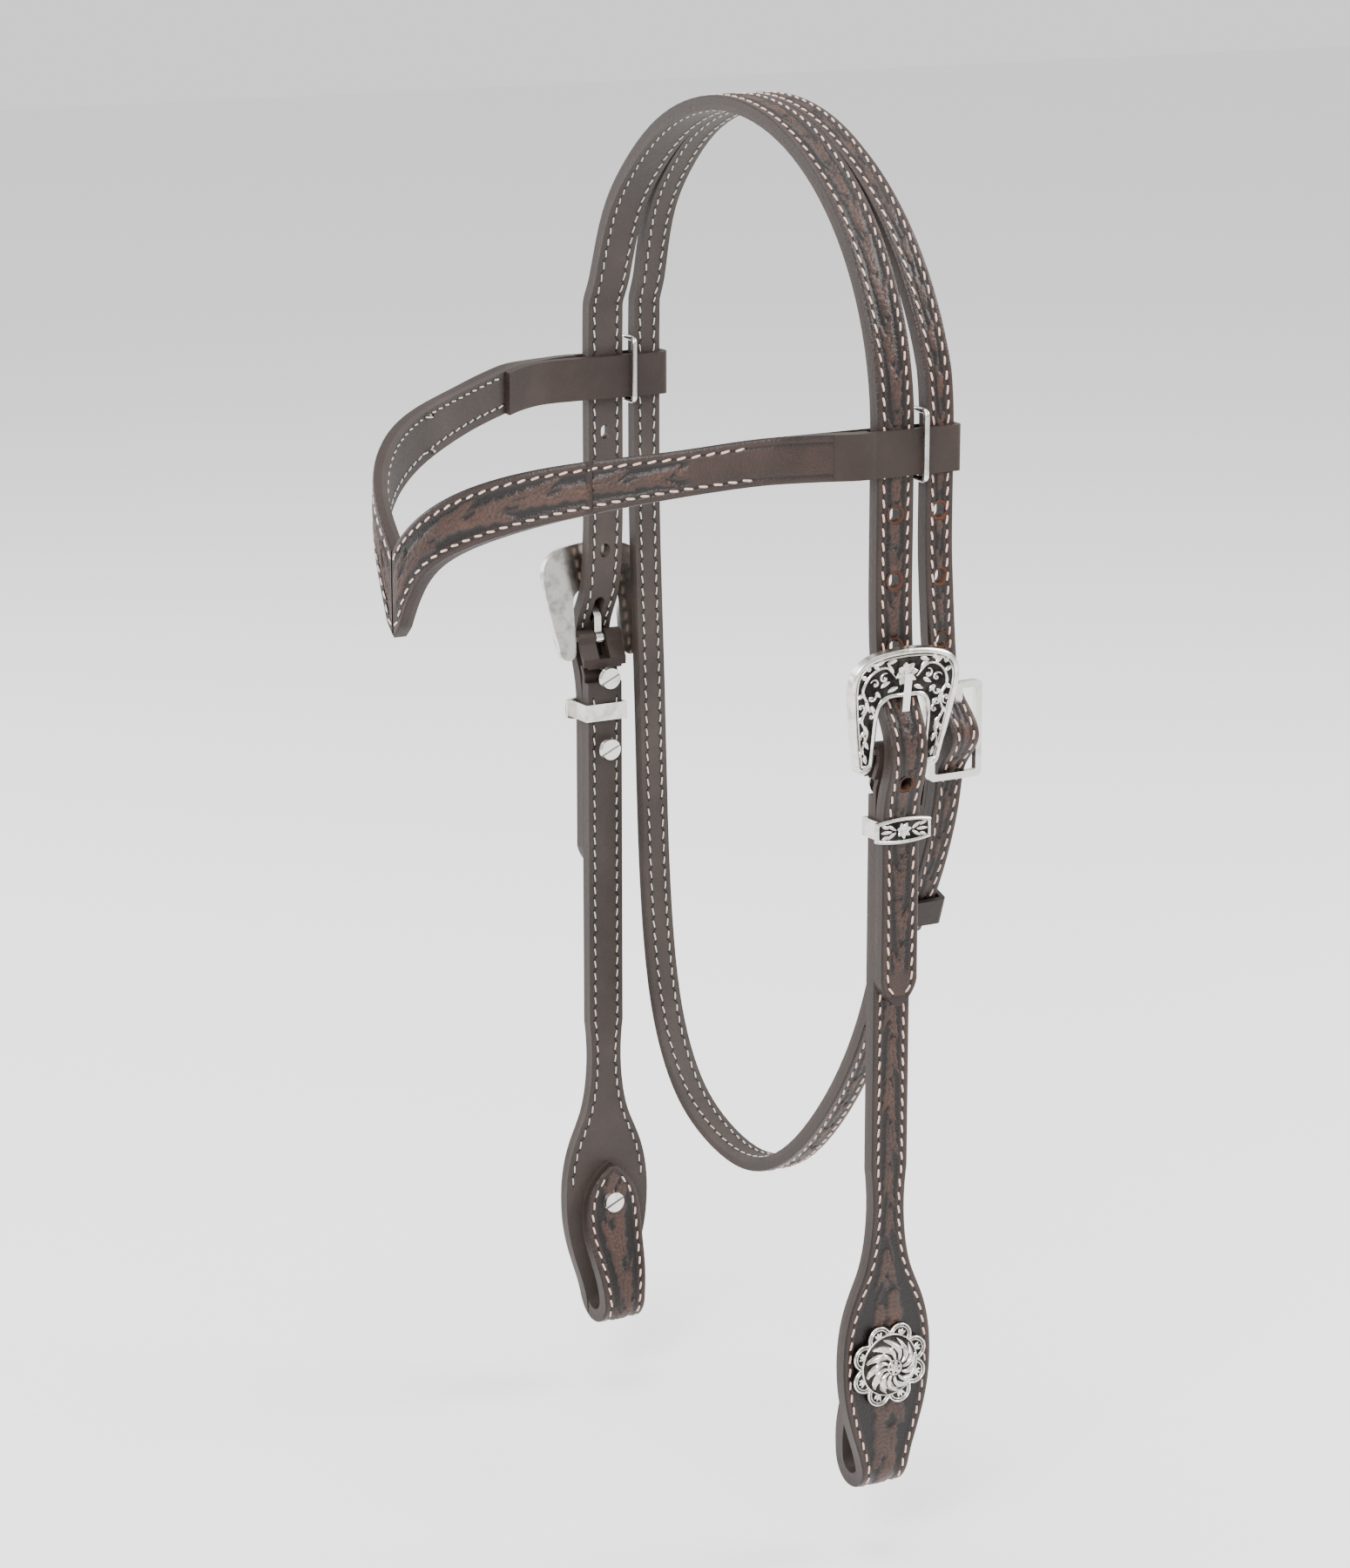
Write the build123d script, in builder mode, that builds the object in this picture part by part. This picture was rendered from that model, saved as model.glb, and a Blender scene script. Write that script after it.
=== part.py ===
"""Western headstall with a slit crown, a V browband and a throatlatch.

Millimetres, +Z up, the horse faces -Y and its near (left) side is +X.
The origin is the middle of the crown's underside, where it sits on the poll.
Every strap is cut flat and curved in one direction only, so each is drawn
as the slice of a curve in the XZ plane (or the XY plane for the browband),
given its width along the third axis, and then trimmed to its outline.
"""

import os
from math import cos, pi, radians, sin

from build123d import *

# Leather
OUTER_PLY = 3.0
LINING_PLY = 2.2
FOLD_PLY = 2.0
STRAP = OUTER_PLY + LINING_PLY
FRONT_WIDTH = 16.0
REAR_WIDTH = 12.0
LAY_GAP = 0.1

# Crown
CROWN_HALF_SPAN = 112.5
CROWN_RISE = 115.0
CROWN_SIDE_Z = STRAP - CROWN_RISE
CROWN_WIDTH = FRONT_WIDTH + REAR_WIDTH
SLIT_TOP_Z = -12.0
SLIT_FULL_Z = -88.0
SLIT_GAP = 5.5
FRONT_Y = (FRONT_WIDTH - CROWN_WIDTH) / 2
SLIT_Y = FRONT_Y + FRONT_WIDTH / 2
REAR_Y = SLIT_Y + SLIT_GAP + REAR_WIDTH / 2
BILLET_TIP_Z = -328.0
BILLET_POINT = 10.0
HOLE_WIDTH = 4.5
HOLE_LENGTH = 6.0
HOLE_PITCH = 25.0
FIRST_HOLE_Z = -140.0
HOLE_COUNT = 5

# Cheeks
CHEEK_X = 114.0
CHEEK_TOP_Z = -246.0
FLARE_HALF = 19.8
FLARE_Z = -472.0
NECK_Z = -424.0
BIT_HALF = 10.0
BIT_FOLD_RADIUS = 10.5
BIT_BOTTOM_Z = -526.0
TAB_HALF = 13.0
TAB_SHOULDER_Z = -480.0
TAB_TIP_Z = -456.5
CONCHO_Z = -473.5
TURNBACK_END_Z = -286.0
TURNBACK_HALF = 10.0
TURNBACK_END_HALF = 8.5
UPPER_SCREW_Z = -243.5
LOWER_SCREW_Z = -274.0

# Cheek buckle
CHEEK_BAR_X = 115.5
CHEEK_BAR_Z = -228.0
BAR_RADIUS = 1.5
BUCKLE_TILT = 9.0
BUCKLE_HALF = 23.8
BUCKLE_TOP = 40.2
BUCKLE_FOOT = 8.5
BUCKLE_PLATE = 3.0
WINDOW_TOP = 21.0
WINDOW_HALF = 10.2
PRONG_WIDTH = 3.2
PRONG_PLATE = 1.6
PRONG_SLOT = 5.2
USED_HOLE_LENGTH = 11.5

# Metal keeper
KEEPER_Z = -258.5
KEEPER_HEIGHT = 10.0
KEEPER_PLATE_WIDTH = 24.0
KEEPER_PLATE = 1.6
KEEPER_BAND = 1.1
KEEPER_GAP = 0.35
KEEPER_POCKET = KEEPER_BAND + 2 * KEEPER_GAP

# Screws
POST_RADIUS = 2.4
THREAD_RADIUS = 1.8
THREAD_FIT = 0.05
FLANGE_RADIUS = 4.4
FLANGE = 1.1
HEAD_RADIUS = 4.9
HEAD = 1.7
SLOT_WIDTH = 1.1
SLOT_DEPTH = 0.8
CONCHO_RADIUS = 17.3
CONCHO_DOME_RADIUS = 12.0
CONCHO_PLATE = 1.8
CONCHO_RISE = 3.6
SPIN_GAP = 0.3

# Prongs
EYE_PLATE = 1.1
EYE_FIT = 0.05
PRONG_HOLE_RISE = 12.0
USED_HOLE_WIDTH = 4.8
REST_GAP = 0.3

# Browband
BROW_FRONT_Y = -157.5
BROW_TOP_Z = -108.0
BROW_HEIGHT = 17.3
V_NOTCH_Z = -158.0
V_TIP_Z = -191.0
LOOP_PLY = 2.2
LOOP_FIT = 0.35
LOOP_INSIDE_FIT = 1.2
LOOP_START_Y = -16.0
LOOP_LEAD = 2.0

# Wire rings
RING_WIRE = 1.1
RING_TOP_Z = -100.5
RING_BOTTOM_Z = -128.5
RING_SIDE_GAP = 0.6

# Throatlatch
THROAT_BAR_X = 110.5
THROAT_BAR_Z = -225.5
THROAT_BAR_RADIUS = 1.3
THROAT_FRAME_HEIGHT = 37.5
THROAT_FRAME_WIDTH = 23.6
THROAT_FRAME_WIRE = 2.6
THROAT_BOW = 9.5
THROAT_HOLE_RISE = 8.8
THROAT_TIP_Z = -312.0
THROAT_KEEPER_HEIGHT = 11.0
THROAT_KEEPER_PLY = 2.0
THROAT_KEEPER_GAP = 0.95
THROAT_TIP_X = 88.0

LOOP_SKIN_X = CROWN_HALF_SPAN + LOOP_FIT + LOOP_PLY
LOOP_INNER_X = CROWN_HALF_SPAN - STRAP - LOOP_INSIDE_FIT - LOOP_PLY
REAR_EDGE_Y = REAR_Y + REAR_WIDTH / 2
CHEEK_FOLD_RADIUS = BAR_RADIUS + LAY_GAP + FOLD_PLY
THROAT_FOLD_RADIUS = THROAT_BAR_RADIUS + LAY_GAP + FOLD_PLY
TURNBACK_SKIN_X = CHEEK_X - STRAP - KEEPER_POCKET - FOLD_PLY
BILLET_SKIN_X = CHEEK_X + LAY_GAP + STRAP
RING_Y = SLIT_Y + SLIT_GAP / 2
FAR_SIDE = 400.0


def side_plane(y):
    """The XZ plane at one Y, seen from the front, with +Z up the sketch."""
    return Plane.XZ.offset(-y)


def skin_line(points, tangents):
    """The skin curve through some points, free of any sketch's own plane."""
    places = [Vector(*point) for point in points]
    return Edge.make_spline(places, tangents=[Vector(*way) for way in tangents])


def under(curve, share, depth):
    """A point on the flesh side of a skin curve, square to it."""
    along = curve % share
    point = curve @ share + Vector(-along.Y, along.X) * depth
    return (point.X, point.Y)


def parallel(curve, depth, start=0.0, end=1.0, count=60):
    """Points that follow a skin curve at one depth below it."""
    shares = [start + (end - start) * i / count for i in range(count + 1)]
    return [under(curve, share, depth) for share in shares]


def ply(points, tangents, top, bottom, start=0.0, end=1.0, count=60):
    """Face of one ply: the slice of leather between two depths under the skin."""
    with BuildSketch() as face:
        with BuildLine():
            skin = skin_line(points, tangents)
            upper = Spline(*parallel(skin, top, start, end, count))
            lower = Spline(*parallel(skin, bottom, start, end, count))
            Line(upper @ 0, lower @ 0)
            Line(upper @ 1, lower @ 1)
        make_face()
    return face.sketch


def arch(steps=12):
    """Skin points of the crown arch, from the near side over to the far side."""
    angles = [pi * i / steps for i in range(steps + 1)]
    return [
        (CROWN_HALF_SPAN * cos(a), CROWN_SIDE_Z + CROWN_RISE * sin(a))
        for a in angles
    ]


def front_tail():
    """Skin points of a front billet, from its tip up to the arch."""
    bulge_x = CHEEK_BAR_X + CHEEK_FOLD_RADIUS + LAY_GAP + STRAP
    return [
        (BILLET_SKIN_X, BILLET_TIP_Z),
        (BILLET_SKIN_X, BILLET_TIP_Z + 24),
        (BILLET_SKIN_X, CHEEK_TOP_Z - 34),
        (BILLET_SKIN_X, CHEEK_TOP_Z - 14),
        (BILLET_SKIN_X + 0.9, CHEEK_BAR_Z - 20),
        (bulge_x - 1.2, CHEEK_BAR_Z - 10),
        (bulge_x + 0.3, CHEEK_BAR_Z - 1.5),
        (bulge_x - 2.0, CHEEK_BAR_Z + 9.5),
        (CHEEK_BAR_X + 1.3, CHEEK_BAR_Z + 20),
        (CHEEK_BAR_X - 1.4, CHEEK_BAR_Z + 32),
        (CROWN_HALF_SPAN + 0.3, CHEEK_BAR_Z + 48),
        (CROWN_HALF_SPAN, CHEEK_BAR_Z + 64),
        (CROWN_HALF_SPAN, CROWN_SIDE_Z - 40),
    ]


def rear_tail():
    """Skin points of the near rear billet, from its tip up to the arch."""
    bulge_x = THROAT_BAR_X + THROAT_FOLD_RADIUS + LAY_GAP + STRAP
    under_frame = THROAT_BAR_X - THROAT_FRAME_WIRE / 2 - 0.4
    half_frame = THROAT_FRAME_HEIGHT / 2
    return [
        (91.0, THROAT_TIP_Z),
        (97.3, THROAT_TIP_Z + 15),
        (102.3, THROAT_TIP_Z + 31),
        (105.7, THROAT_TIP_Z + 47),
        (107.5, THROAT_BAR_Z - half_frame - 6),
        (under_frame, THROAT_BAR_Z - half_frame + 2.6),
        (bulge_x - 3.7, THROAT_BAR_Z - 7.3),
        (bulge_x, THROAT_BAR_Z),
        (bulge_x - 3.7, THROAT_BAR_Z + 7.3),
        (under_frame, THROAT_BAR_Z + half_frame - 2.6),
        (under_frame - 0.4, THROAT_BAR_Z + half_frame + 6),
        (THROAT_BAR_X - 0.6, THROAT_BAR_Z + 36),
        (THROAT_BAR_X + 1.0, THROAT_BAR_Z + 48),
        (CROWN_HALF_SPAN, THROAT_BAR_Z + 62),
        (CROWN_HALF_SPAN, CROWN_SIDE_Z - 40),
    ]


REAR_TAIL_TANGENTS = ((0.5, 0.87), (0, 1))
THROAT_TANGENTS = ((0, -1), (0.25, 1))
THROAT_START_SHARE = 0.03
THROAT_END_SHARE = 0.33
THROAT_LINING_END = 0.985


def throat_path():
    """Skin points of the throat strap, from the far arch round to the near side."""
    tail = skin_line(rear_tail(), REAR_TAIL_TANGENTS)
    rise = parallel(
        tail, STRAP + LAY_GAP, THROAT_START_SHARE, THROAT_END_SHARE, count=8
    )
    hang = [
        (-CROWN_HALF_SPAN, CROWN_SIDE_Z - 45),
        (-110.0, -217.0),
        (-107.6, -260.0),
        (-105.2, -310.0),
        (-100.3, -358.0),
        (-90.5, -394.0),
        (-71.5, -420.0),
        (-46.0, -432.5),
        (-18.0, -435.5),
        (11.0, -425.5),
        (37.5, -403.5),
        (60.0, -375.0),
        (76.0, -344.0),
    ]
    return hang + rise


def point_cut(y, width, tip_z, point, x_low, x_high):
    """Trim a strap's free end to a pointed tip."""
    half = width / 2
    with BuildPart() as waste:
        with BuildSketch(Plane.YZ.offset(x_low)):
            with Locations((y, tip_z)):
                Rectangle(width + 2, 2 * point)
            with BuildLine():
                Line((y + half, tip_z + 2 * point), (y - half, tip_z + 2 * point))
                Line((y - half, tip_z + 2 * point), (y - half, tip_z + point))
                ThreePointArc(
                    (y - half, tip_z + point),
                    (y - 0.62 * half, tip_z + 0.38 * point),
                    (y, tip_z),
                )
                ThreePointArc(
                    (y, tip_z),
                    (y + 0.62 * half, tip_z + 0.38 * point),
                    (y + half, tip_z + point),
                )
                Line((y + half, tip_z + point), (y + half, tip_z + 2 * point))
            make_face(mode=Mode.SUBTRACT)
        extrude(amount=x_high - x_low)
    return waste.part


def arch_layer(top, bottom):
    """One ply of the crown's arch, slit from just below the poll on both sides."""
    front_edge = FRONT_Y - FRONT_WIDTH / 2
    with BuildPart() as layer:
        with BuildSketch(side_plane(front_edge)):
            add(ply(arch(), ((0, 1), (0, -1)), top, bottom))
        extrude(amount=front_edge - REAR_EDGE_Y)
        with BuildSketch(Plane.YZ.offset(-FAR_SIDE / 2)):
            with Locations((FRONT_Y, 0)):
                Rectangle(FRONT_WIDTH, 2 * CROWN_RISE + 40)
            add(rear_outline(0))
        extrude(amount=FAR_SIDE, mode=Mode.INTERSECT)
    return layer


def front_tails(top, bottom):
    """One ply of the front crown strap's two billets, below the arch."""
    tail = front_tail() + arch()[:1]
    with BuildPart() as layer:
        with BuildSketch(side_plane(FRONT_Y)):
            add(ply(tail, ((0, 1), (0, 1)), top, bottom))
            mirror(about=Plane.YZ)
        extrude(amount=FRONT_WIDTH / 2, both=True)
        for x in (CROWN_HALF_SPAN - 20, -CROWN_HALF_SPAN - 20):
            waste = point_cut(
                FRONT_Y, FRONT_WIDTH, BILLET_TIP_Z, BILLET_POINT, x, x + 40
            )
            add(waste, mode=Mode.SUBTRACT)
        with BuildSketch(Plane.YZ):
            for i in range(HOLE_COUNT):
                if i != HOLE_COUNT - 2:
                    with Locations((FRONT_Y, FIRST_HOLE_Z - i * HOLE_PITCH)):
                        SlotOverall(HOLE_LENGTH, HOLE_WIDTH, rotation=90)
            with Locations((FRONT_Y, CHEEK_BAR_Z + PRONG_HOLE_RISE)):
                SlotOverall(USED_HOLE_LENGTH, USED_HOLE_WIDTH, rotation=90)
        extrude(amount=FAR_SIDE, both=True, mode=Mode.SUBTRACT)
    return layer


def rear_outline(bow):
    """Keep the rear strap's width: it leaves the slit, then hangs straight.

    The bow is how far the strap leans back where it goes through its buckle.
    """
    low = -460.0
    front_edge = SLIT_Y + SLIT_GAP
    left = [
        (SLIT_Y, 20),
        (SLIT_Y, SLIT_TOP_Z),
        (front_edge, SLIT_FULL_Z),
        (front_edge, THROAT_BAR_Z + 75),
    ]
    leaning = [
        (front_edge, THROAT_BAR_Z + 75),
        (front_edge + bow, THROAT_BAR_Z - 6),
        (front_edge + 0.4 * bow, THROAT_BAR_Z - 70),
        (front_edge, THROAT_BAR_Z - 140),
    ]
    across = Vector(REAR_WIDTH, 0)
    with BuildSketch() as outline:
        with BuildLine():
            edge = Polyline(*left)
            curve = Spline(*leaning, tangents=((0, -1), (0, -1)))
            tail = Line(curve @ 1, (front_edge, low))
            Line(tail @ 1, tail @ 1 + across)
            Line(tail @ 1 + across, curve @ 1 + across)
            Spline(
                *[(y + REAR_WIDTH, z) for y, z in reversed(leaning)],
                tangents=((0, 1), (0, 1)),
            )
            Polyline(*[(y + REAR_WIDTH, z) for y, z in reversed(left)])
            Line(edge @ 0 + across, edge @ 0)
        make_face()
    return outline.sketch


def folded_leather(outside, bar, bar_radius, inside):
    """Face of a skived end that folds over a bar, drawn along its mid-line."""
    bar_x, bar_z = bar
    bend = bar_radius + LAY_GAP + FOLD_PLY / 2
    with BuildSketch() as face:
        with BuildLine():
            Polyline(*outside, (bar_x + bend, bar_z))
            ThreePointArc(
                (bar_x + bend, bar_z), (bar_x, bar_z + bend), (bar_x - bend, bar_z)
            )
            Polyline((bar_x - bend, bar_z), *inside)
        trace(line_width=FOLD_PLY)
    return face.sketch


def throat_fold():
    """The throat strap's end: over the buckle bar and back down the inside."""
    outer_radius = THROAT_FOLD_RADIUS
    inner_radius = THROAT_BAR_RADIUS + LAY_GAP
    outside = STRAP + 2 * LAY_GAP
    inside = 2 * STRAP + 4 * LAY_GAP
    tail = skin_line(rear_tail(), REAR_TAIL_TANGENTS)
    landing = under(tail, 0.395, inside)
    inner_landing = under(tail, 0.395, inside + FOLD_PLY)
    with BuildSketch() as face:
        with Locations((THROAT_BAR_X, THROAT_BAR_Z)):
            Circle(outer_radius)
            Circle(inner_radius, mode=Mode.SUBTRACT)
        with Locations((THROAT_BAR_X + 0.9, THROAT_BAR_Z)):
            Rectangle(8, 8, align=(Align.MAX, Align.MAX), mode=Mode.SUBTRACT)
        with BuildLine():
            Polyline(
                (THROAT_BAR_X - inner_radius, THROAT_BAR_Z),
                landing,
                inner_landing,
                (THROAT_BAR_X - outer_radius, THROAT_BAR_Z),
                close=True,
            )
        make_face()
        for depth, start, end in ((outside, 0.28, 0.50), (inside, 0.20, 0.40)):
            skin = rear_tail()
            bottom = depth + FOLD_PLY
            add(ply(skin, REAR_TAIL_TANGENTS, depth, bottom, start, end, 16))
    return face.sketch


def rear_tails(top, bottom, folded):
    """One ply of the rear strap below the arch: near billet and throat strap."""
    tail = rear_tail() + arch()[:1]
    throat = throat_path()
    far_arch_x = -CROWN_HALF_SPAN + top
    far_arch_z = CROWN_SIDE_Z
    straight = CROWN_SIDE_Z - throat[0][1]
    reach = SLIT_GAP + REAR_WIDTH + THROAT_BOW
    end = 1.0 if folded else THROAT_LINING_END
    middle_y = REAR_Y + THROAT_BOW
    with BuildPart() as keep:
        with BuildSketch(Plane.YZ.offset(60)):
            add(rear_outline(THROAT_BOW))
        extrude(amount=FAR_SIDE)
        with BuildSketch(Plane.YZ.offset(60)):
            add(rear_outline(0))
        extrude(amount=-FAR_SIDE)
    with BuildPart() as layer:
        with BuildSketch(side_plane(SLIT_Y)):
            add(ply(tail, REAR_TAIL_TANGENTS, top, bottom))
        extrude(amount=-reach)
        with BuildSketch(side_plane(SLIT_Y)):
            with Locations((far_arch_x, far_arch_z)):
                Rectangle(bottom - top, straight, align=(Align.MIN, Align.MAX))
            add(ply(throat, THROAT_TANGENTS, top, bottom, end=end, count=120))
        extrude(amount=-reach)
        if folded:
            with BuildSketch(side_plane(SLIT_Y)):
                add(throat_fold())
            extrude(amount=-reach)
        add(keep.part, mode=Mode.INTERSECT)
        waste = point_cut(
            REAR_Y + 0.22 * THROAT_BOW,
            REAR_WIDTH,
            THROAT_TIP_Z,
            BILLET_POINT,
            THROAT_TIP_X,
            THROAT_TIP_X + 40,
        )
        add(waste, mode=Mode.SUBTRACT)
        with BuildSketch(Plane.YZ.offset(THROAT_TIP_X + 3)):
            for i in range(3):
                lean = THROAT_BOW * (0, 0.1, 0.38)[i]
                with Locations((REAR_Y + lean, FIRST_HOLE_Z - i * HOLE_PITCH)):
                    SlotOverall(HOLE_LENGTH, HOLE_WIDTH, rotation=90)
            with Locations((middle_y, THROAT_BAR_Z + THROAT_HOLE_RISE)):
                SlotOverall(USED_HOLE_LENGTH, USED_HOLE_WIDTH, rotation=90)
        extrude(amount=60, mode=Mode.SUBTRACT)
        with BuildSketch(side_plane(middle_y)):
            with Locations((THROAT_BAR_X, THROAT_BAR_Z)):
                Circle(THROAT_FOLD_RADIUS + LAY_GAP / 2)
        extrude(amount=PRONG_SLOT / 2, both=True, mode=Mode.SUBTRACT)
    return layer


def crown(top, bottom, folded):
    """One ply of the whole crown: front strap, rear strap and throat strap."""
    with BuildPart() as layer:
        add(arch_layer(top, bottom).part)
        add(front_tails(top, bottom).part)
        add(rear_tails(top, bottom, folded).part)
    return layer


def cheek_outline(half_at):
    """Half of a YZ outline, given as (half width, z) pairs, mirrored across."""
    with BuildSketch() as outline:
        with BuildLine():
            right = Spline(*[(FRONT_Y + half, z) for half, z in half_at])
            left = Spline(*[(FRONT_Y - half, z) for half, z in half_at])
            Line(right @ 0, left @ 0)
            Line(right @ 1, left @ 1)
        make_face()
    return outline.sketch


def cheek_keep(outer):
    """Everything inside a cheek's outline, on its outer or its inner leg."""
    half = FRONT_WIDTH / 2
    flare = [
        (half, NECK_Z + 30),
        (half, NECK_Z),
        (half + 2.5, NECK_Z - 11),
        (FLARE_HALF - 4.3, NECK_Z - 23),
        (FLARE_HALF - 1.2, FLARE_Z + 14),
        (FLARE_HALF, FLARE_Z),
        (FLARE_HALF - 0.9, FLARE_Z - 13),
        (FLARE_HALF - 4.5, FLARE_Z - 28),
        (BIT_HALF + 0.8, BIT_BOTTOM_Z + 11),
        (BIT_HALF, BIT_BOTTOM_Z - 1),
    ]
    tab = [
        (TAB_HALF, TAB_SHOULDER_Z),
        (TAB_HALF - 0.8, TAB_SHOULDER_Z - 15),
        (BIT_HALF, BIT_BOTTOM_Z + 14),
        (BIT_HALF, BIT_BOTTOM_Z - 1),
    ]
    split_x = CHEEK_X - STRAP - LAY_GAP / 2
    if outer:
        with BuildPart() as keep:
            with BuildSketch(Plane.YZ.offset(split_x)):
                add(cheek_outline(flare))
                with Locations((FRONT_Y, (NECK_Z + 30 + CHEEK_BAR_Z - 11) / 2)):
                    Rectangle(FRONT_WIDTH, CHEEK_BAR_Z - 11 - NECK_Z - 30)
            extrude(amount=40)
            with BuildSketch(Plane.YZ.offset(split_x)):
                with Locations((FRONT_Y, CHEEK_BAR_Z)):
                    Rectangle(2 * TURNBACK_HALF, 22)
            extrude(amount=40)
        return keep.part
    with BuildPart() as keep:
        with BuildSketch(Plane.YZ.offset(split_x)):
            add(cheek_outline(tab))
            with BuildLine():
                Line(
                    (FRONT_Y - TAB_HALF, TAB_SHOULDER_Z),
                    (FRONT_Y + TAB_HALF, TAB_SHOULDER_Z),
                )
                ThreePointArc(
                    (FRONT_Y + TAB_HALF, TAB_SHOULDER_Z),
                    (FRONT_Y + 0.68 * TAB_HALF, TAB_TIP_Z - 8.5),
                    (FRONT_Y, TAB_TIP_Z),
                )
                ThreePointArc(
                    (FRONT_Y, TAB_TIP_Z),
                    (FRONT_Y - 0.68 * TAB_HALF, TAB_TIP_Z - 8.5),
                    (FRONT_Y - TAB_HALF, TAB_SHOULDER_Z),
                )
            make_face()
        extrude(amount=-40)
        with BuildSketch(Plane.YZ.offset(split_x)):
            with Locations((FRONT_Y, TURNBACK_END_Z)):
                with BuildLine():
                    Polyline(
                        (-TURNBACK_END_HALF + 2, 0),
                        (TURNBACK_END_HALF - 2, 0),
                        (TURNBACK_END_HALF, 2),
                        (TURNBACK_HALF, CHEEK_BAR_Z + 10 - TURNBACK_END_Z),
                        (-TURNBACK_HALF, CHEEK_BAR_Z + 10 - TURNBACK_END_Z),
                        (-TURNBACK_END_HALF, 2),
                        close=True,
                    )
                make_face()
        extrude(amount=-40)
    return keep.part


def cheek_leather(*faces):
    """Extrude cheek faces and trim each leg of them to its own outline."""
    with BuildPart() as leather:
        for outer in (True, False):
            with BuildPart(mode=Mode.PRIVATE) as leg:
                with BuildSketch(side_plane(FRONT_Y)):
                    for face in faces:
                        add(face)
                extrude(amount=FLARE_HALF + 2, both=True)
                add(cheek_keep(outer), mode=Mode.INTERSECT)
            add(leg.part)
    return leather.part


def cheek_ply(top, bottom):
    """Face of one cheek ply: down the leg, round the bit fold and up the tab."""
    fold_z = BIT_BOTTOM_Z + BIT_FOLD_RADIUS
    fold_x = CHEEK_X - BIT_FOLD_RADIUS
    tab_x = CHEEK_X - 2 * STRAP - LAY_GAP
    leg_height = CHEEK_TOP_Z - fold_z
    rising = [
        (fold_x - BIT_FOLD_RADIUS, fold_z),
        (fold_x - BIT_FOLD_RADIUS + 2.6, fold_z + 14),
        (tab_x - 1.6, CONCHO_Z - 12),
        (tab_x, CONCHO_Z - 1),
        (tab_x, TAB_TIP_Z + 2),
    ]
    with BuildSketch() as face:
        with Locations((fold_x, fold_z)):
            Circle(BIT_FOLD_RADIUS - top)
            Circle(BIT_FOLD_RADIUS - bottom, mode=Mode.SUBTRACT)
        with Locations((fold_x, fold_z)):
            Rectangle(
                2 * BIT_FOLD_RADIUS + 2,
                BIT_FOLD_RADIUS + 1,
                align=(Align.CENTER, Align.MIN),
                mode=Mode.SUBTRACT,
            )
        with Locations((CHEEK_X - top, fold_z)):
            Rectangle(bottom - top, leg_height, align=(Align.MAX, Align.MIN))
        add(ply(rising, ((0, 1), (0, 1)), -top, -bottom, count=40))
    return face.sketch


def cheek_fold():
    """Face of the skived end: over the buckle bar and down the inside."""
    half = FOLD_PLY / 2
    bend = BAR_RADIUS + LAY_GAP + half
    outside = [
        (CHEEK_X - half, CHEEK_TOP_Z - 12),
        (CHEEK_X - half, CHEEK_TOP_Z + 3),
        (CHEEK_BAR_X + bend, CHEEK_BAR_Z - 4),
    ]
    inside = [
        (CHEEK_BAR_X - bend, CHEEK_BAR_Z - 2),
        (TURNBACK_SKIN_X + half, CHEEK_TOP_Z + 3),
        (TURNBACK_SKIN_X + half, TURNBACK_END_Z - 2),
    ]
    return folded_leather(outside, (CHEEK_BAR_X, CHEEK_BAR_Z), BAR_RADIUS, inside)


def cheek_screw_holes(radius, recess):
    """Holes through a cheek for its two screws and for the concho's post."""
    with BuildPart() as holes:
        with BuildSketch(Plane.YZ.offset(90)):
            with Locations((FRONT_Y, UPPER_SCREW_Z), (FRONT_Y, LOWER_SCREW_Z)):
                Circle(radius)
        extrude(amount=30)
        with BuildSketch(Plane.YZ.offset(80)):
            with Locations((FRONT_Y, CONCHO_Z)):
                Circle(POST_RADIUS + SPIN_GAP)
        extrude(amount=40)
        if recess:
            with BuildSketch(Plane.YZ.offset(CHEEK_X - FLANGE)):
                with Locations((FRONT_Y, UPPER_SCREW_Z), (FRONT_Y, LOWER_SCREW_Z)):
                    Circle(FLANGE_RADIUS + 0.1)
            extrude(amount=10)
    return holes.part


def cheek_strap():
    """Tooled outer leather of a cheek, with its turnback and its bit fold."""
    with BuildPart() as strap:
        add(cheek_leather(cheek_ply(0, OUTER_PLY), cheek_fold()))
        with BuildSketch(side_plane(FRONT_Y)):
            with Locations((CHEEK_BAR_X, CHEEK_BAR_Z)):
                Rectangle(16, 16)
        extrude(amount=PRONG_SLOT / 2, both=True, mode=Mode.SUBTRACT)
        add(cheek_screw_holes(POST_RADIUS + THREAD_FIT, True), mode=Mode.SUBTRACT)
    return strap


def cheek_lining():
    """Smooth lining of a cheek, which follows it round the bit fold."""
    with BuildPart() as lining:
        add(cheek_leather(cheek_ply(OUTER_PLY, STRAP)))
        add(cheek_screw_holes(POST_RADIUS + THREAD_FIT, False), mode=Mode.SUBTRACT)
    return lining


def buckle_plane():
    """The cheek buckle's own plane: across the strap, and up its tilted face."""
    lean = radians(BUCKLE_TILT)
    return Plane(
        origin=(CHEEK_BAR_X, FRONT_Y, CHEEK_BAR_Z),
        x_dir=(0, 1, 0),
        z_dir=(cos(lean), 0, -sin(lean)),
    )


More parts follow.
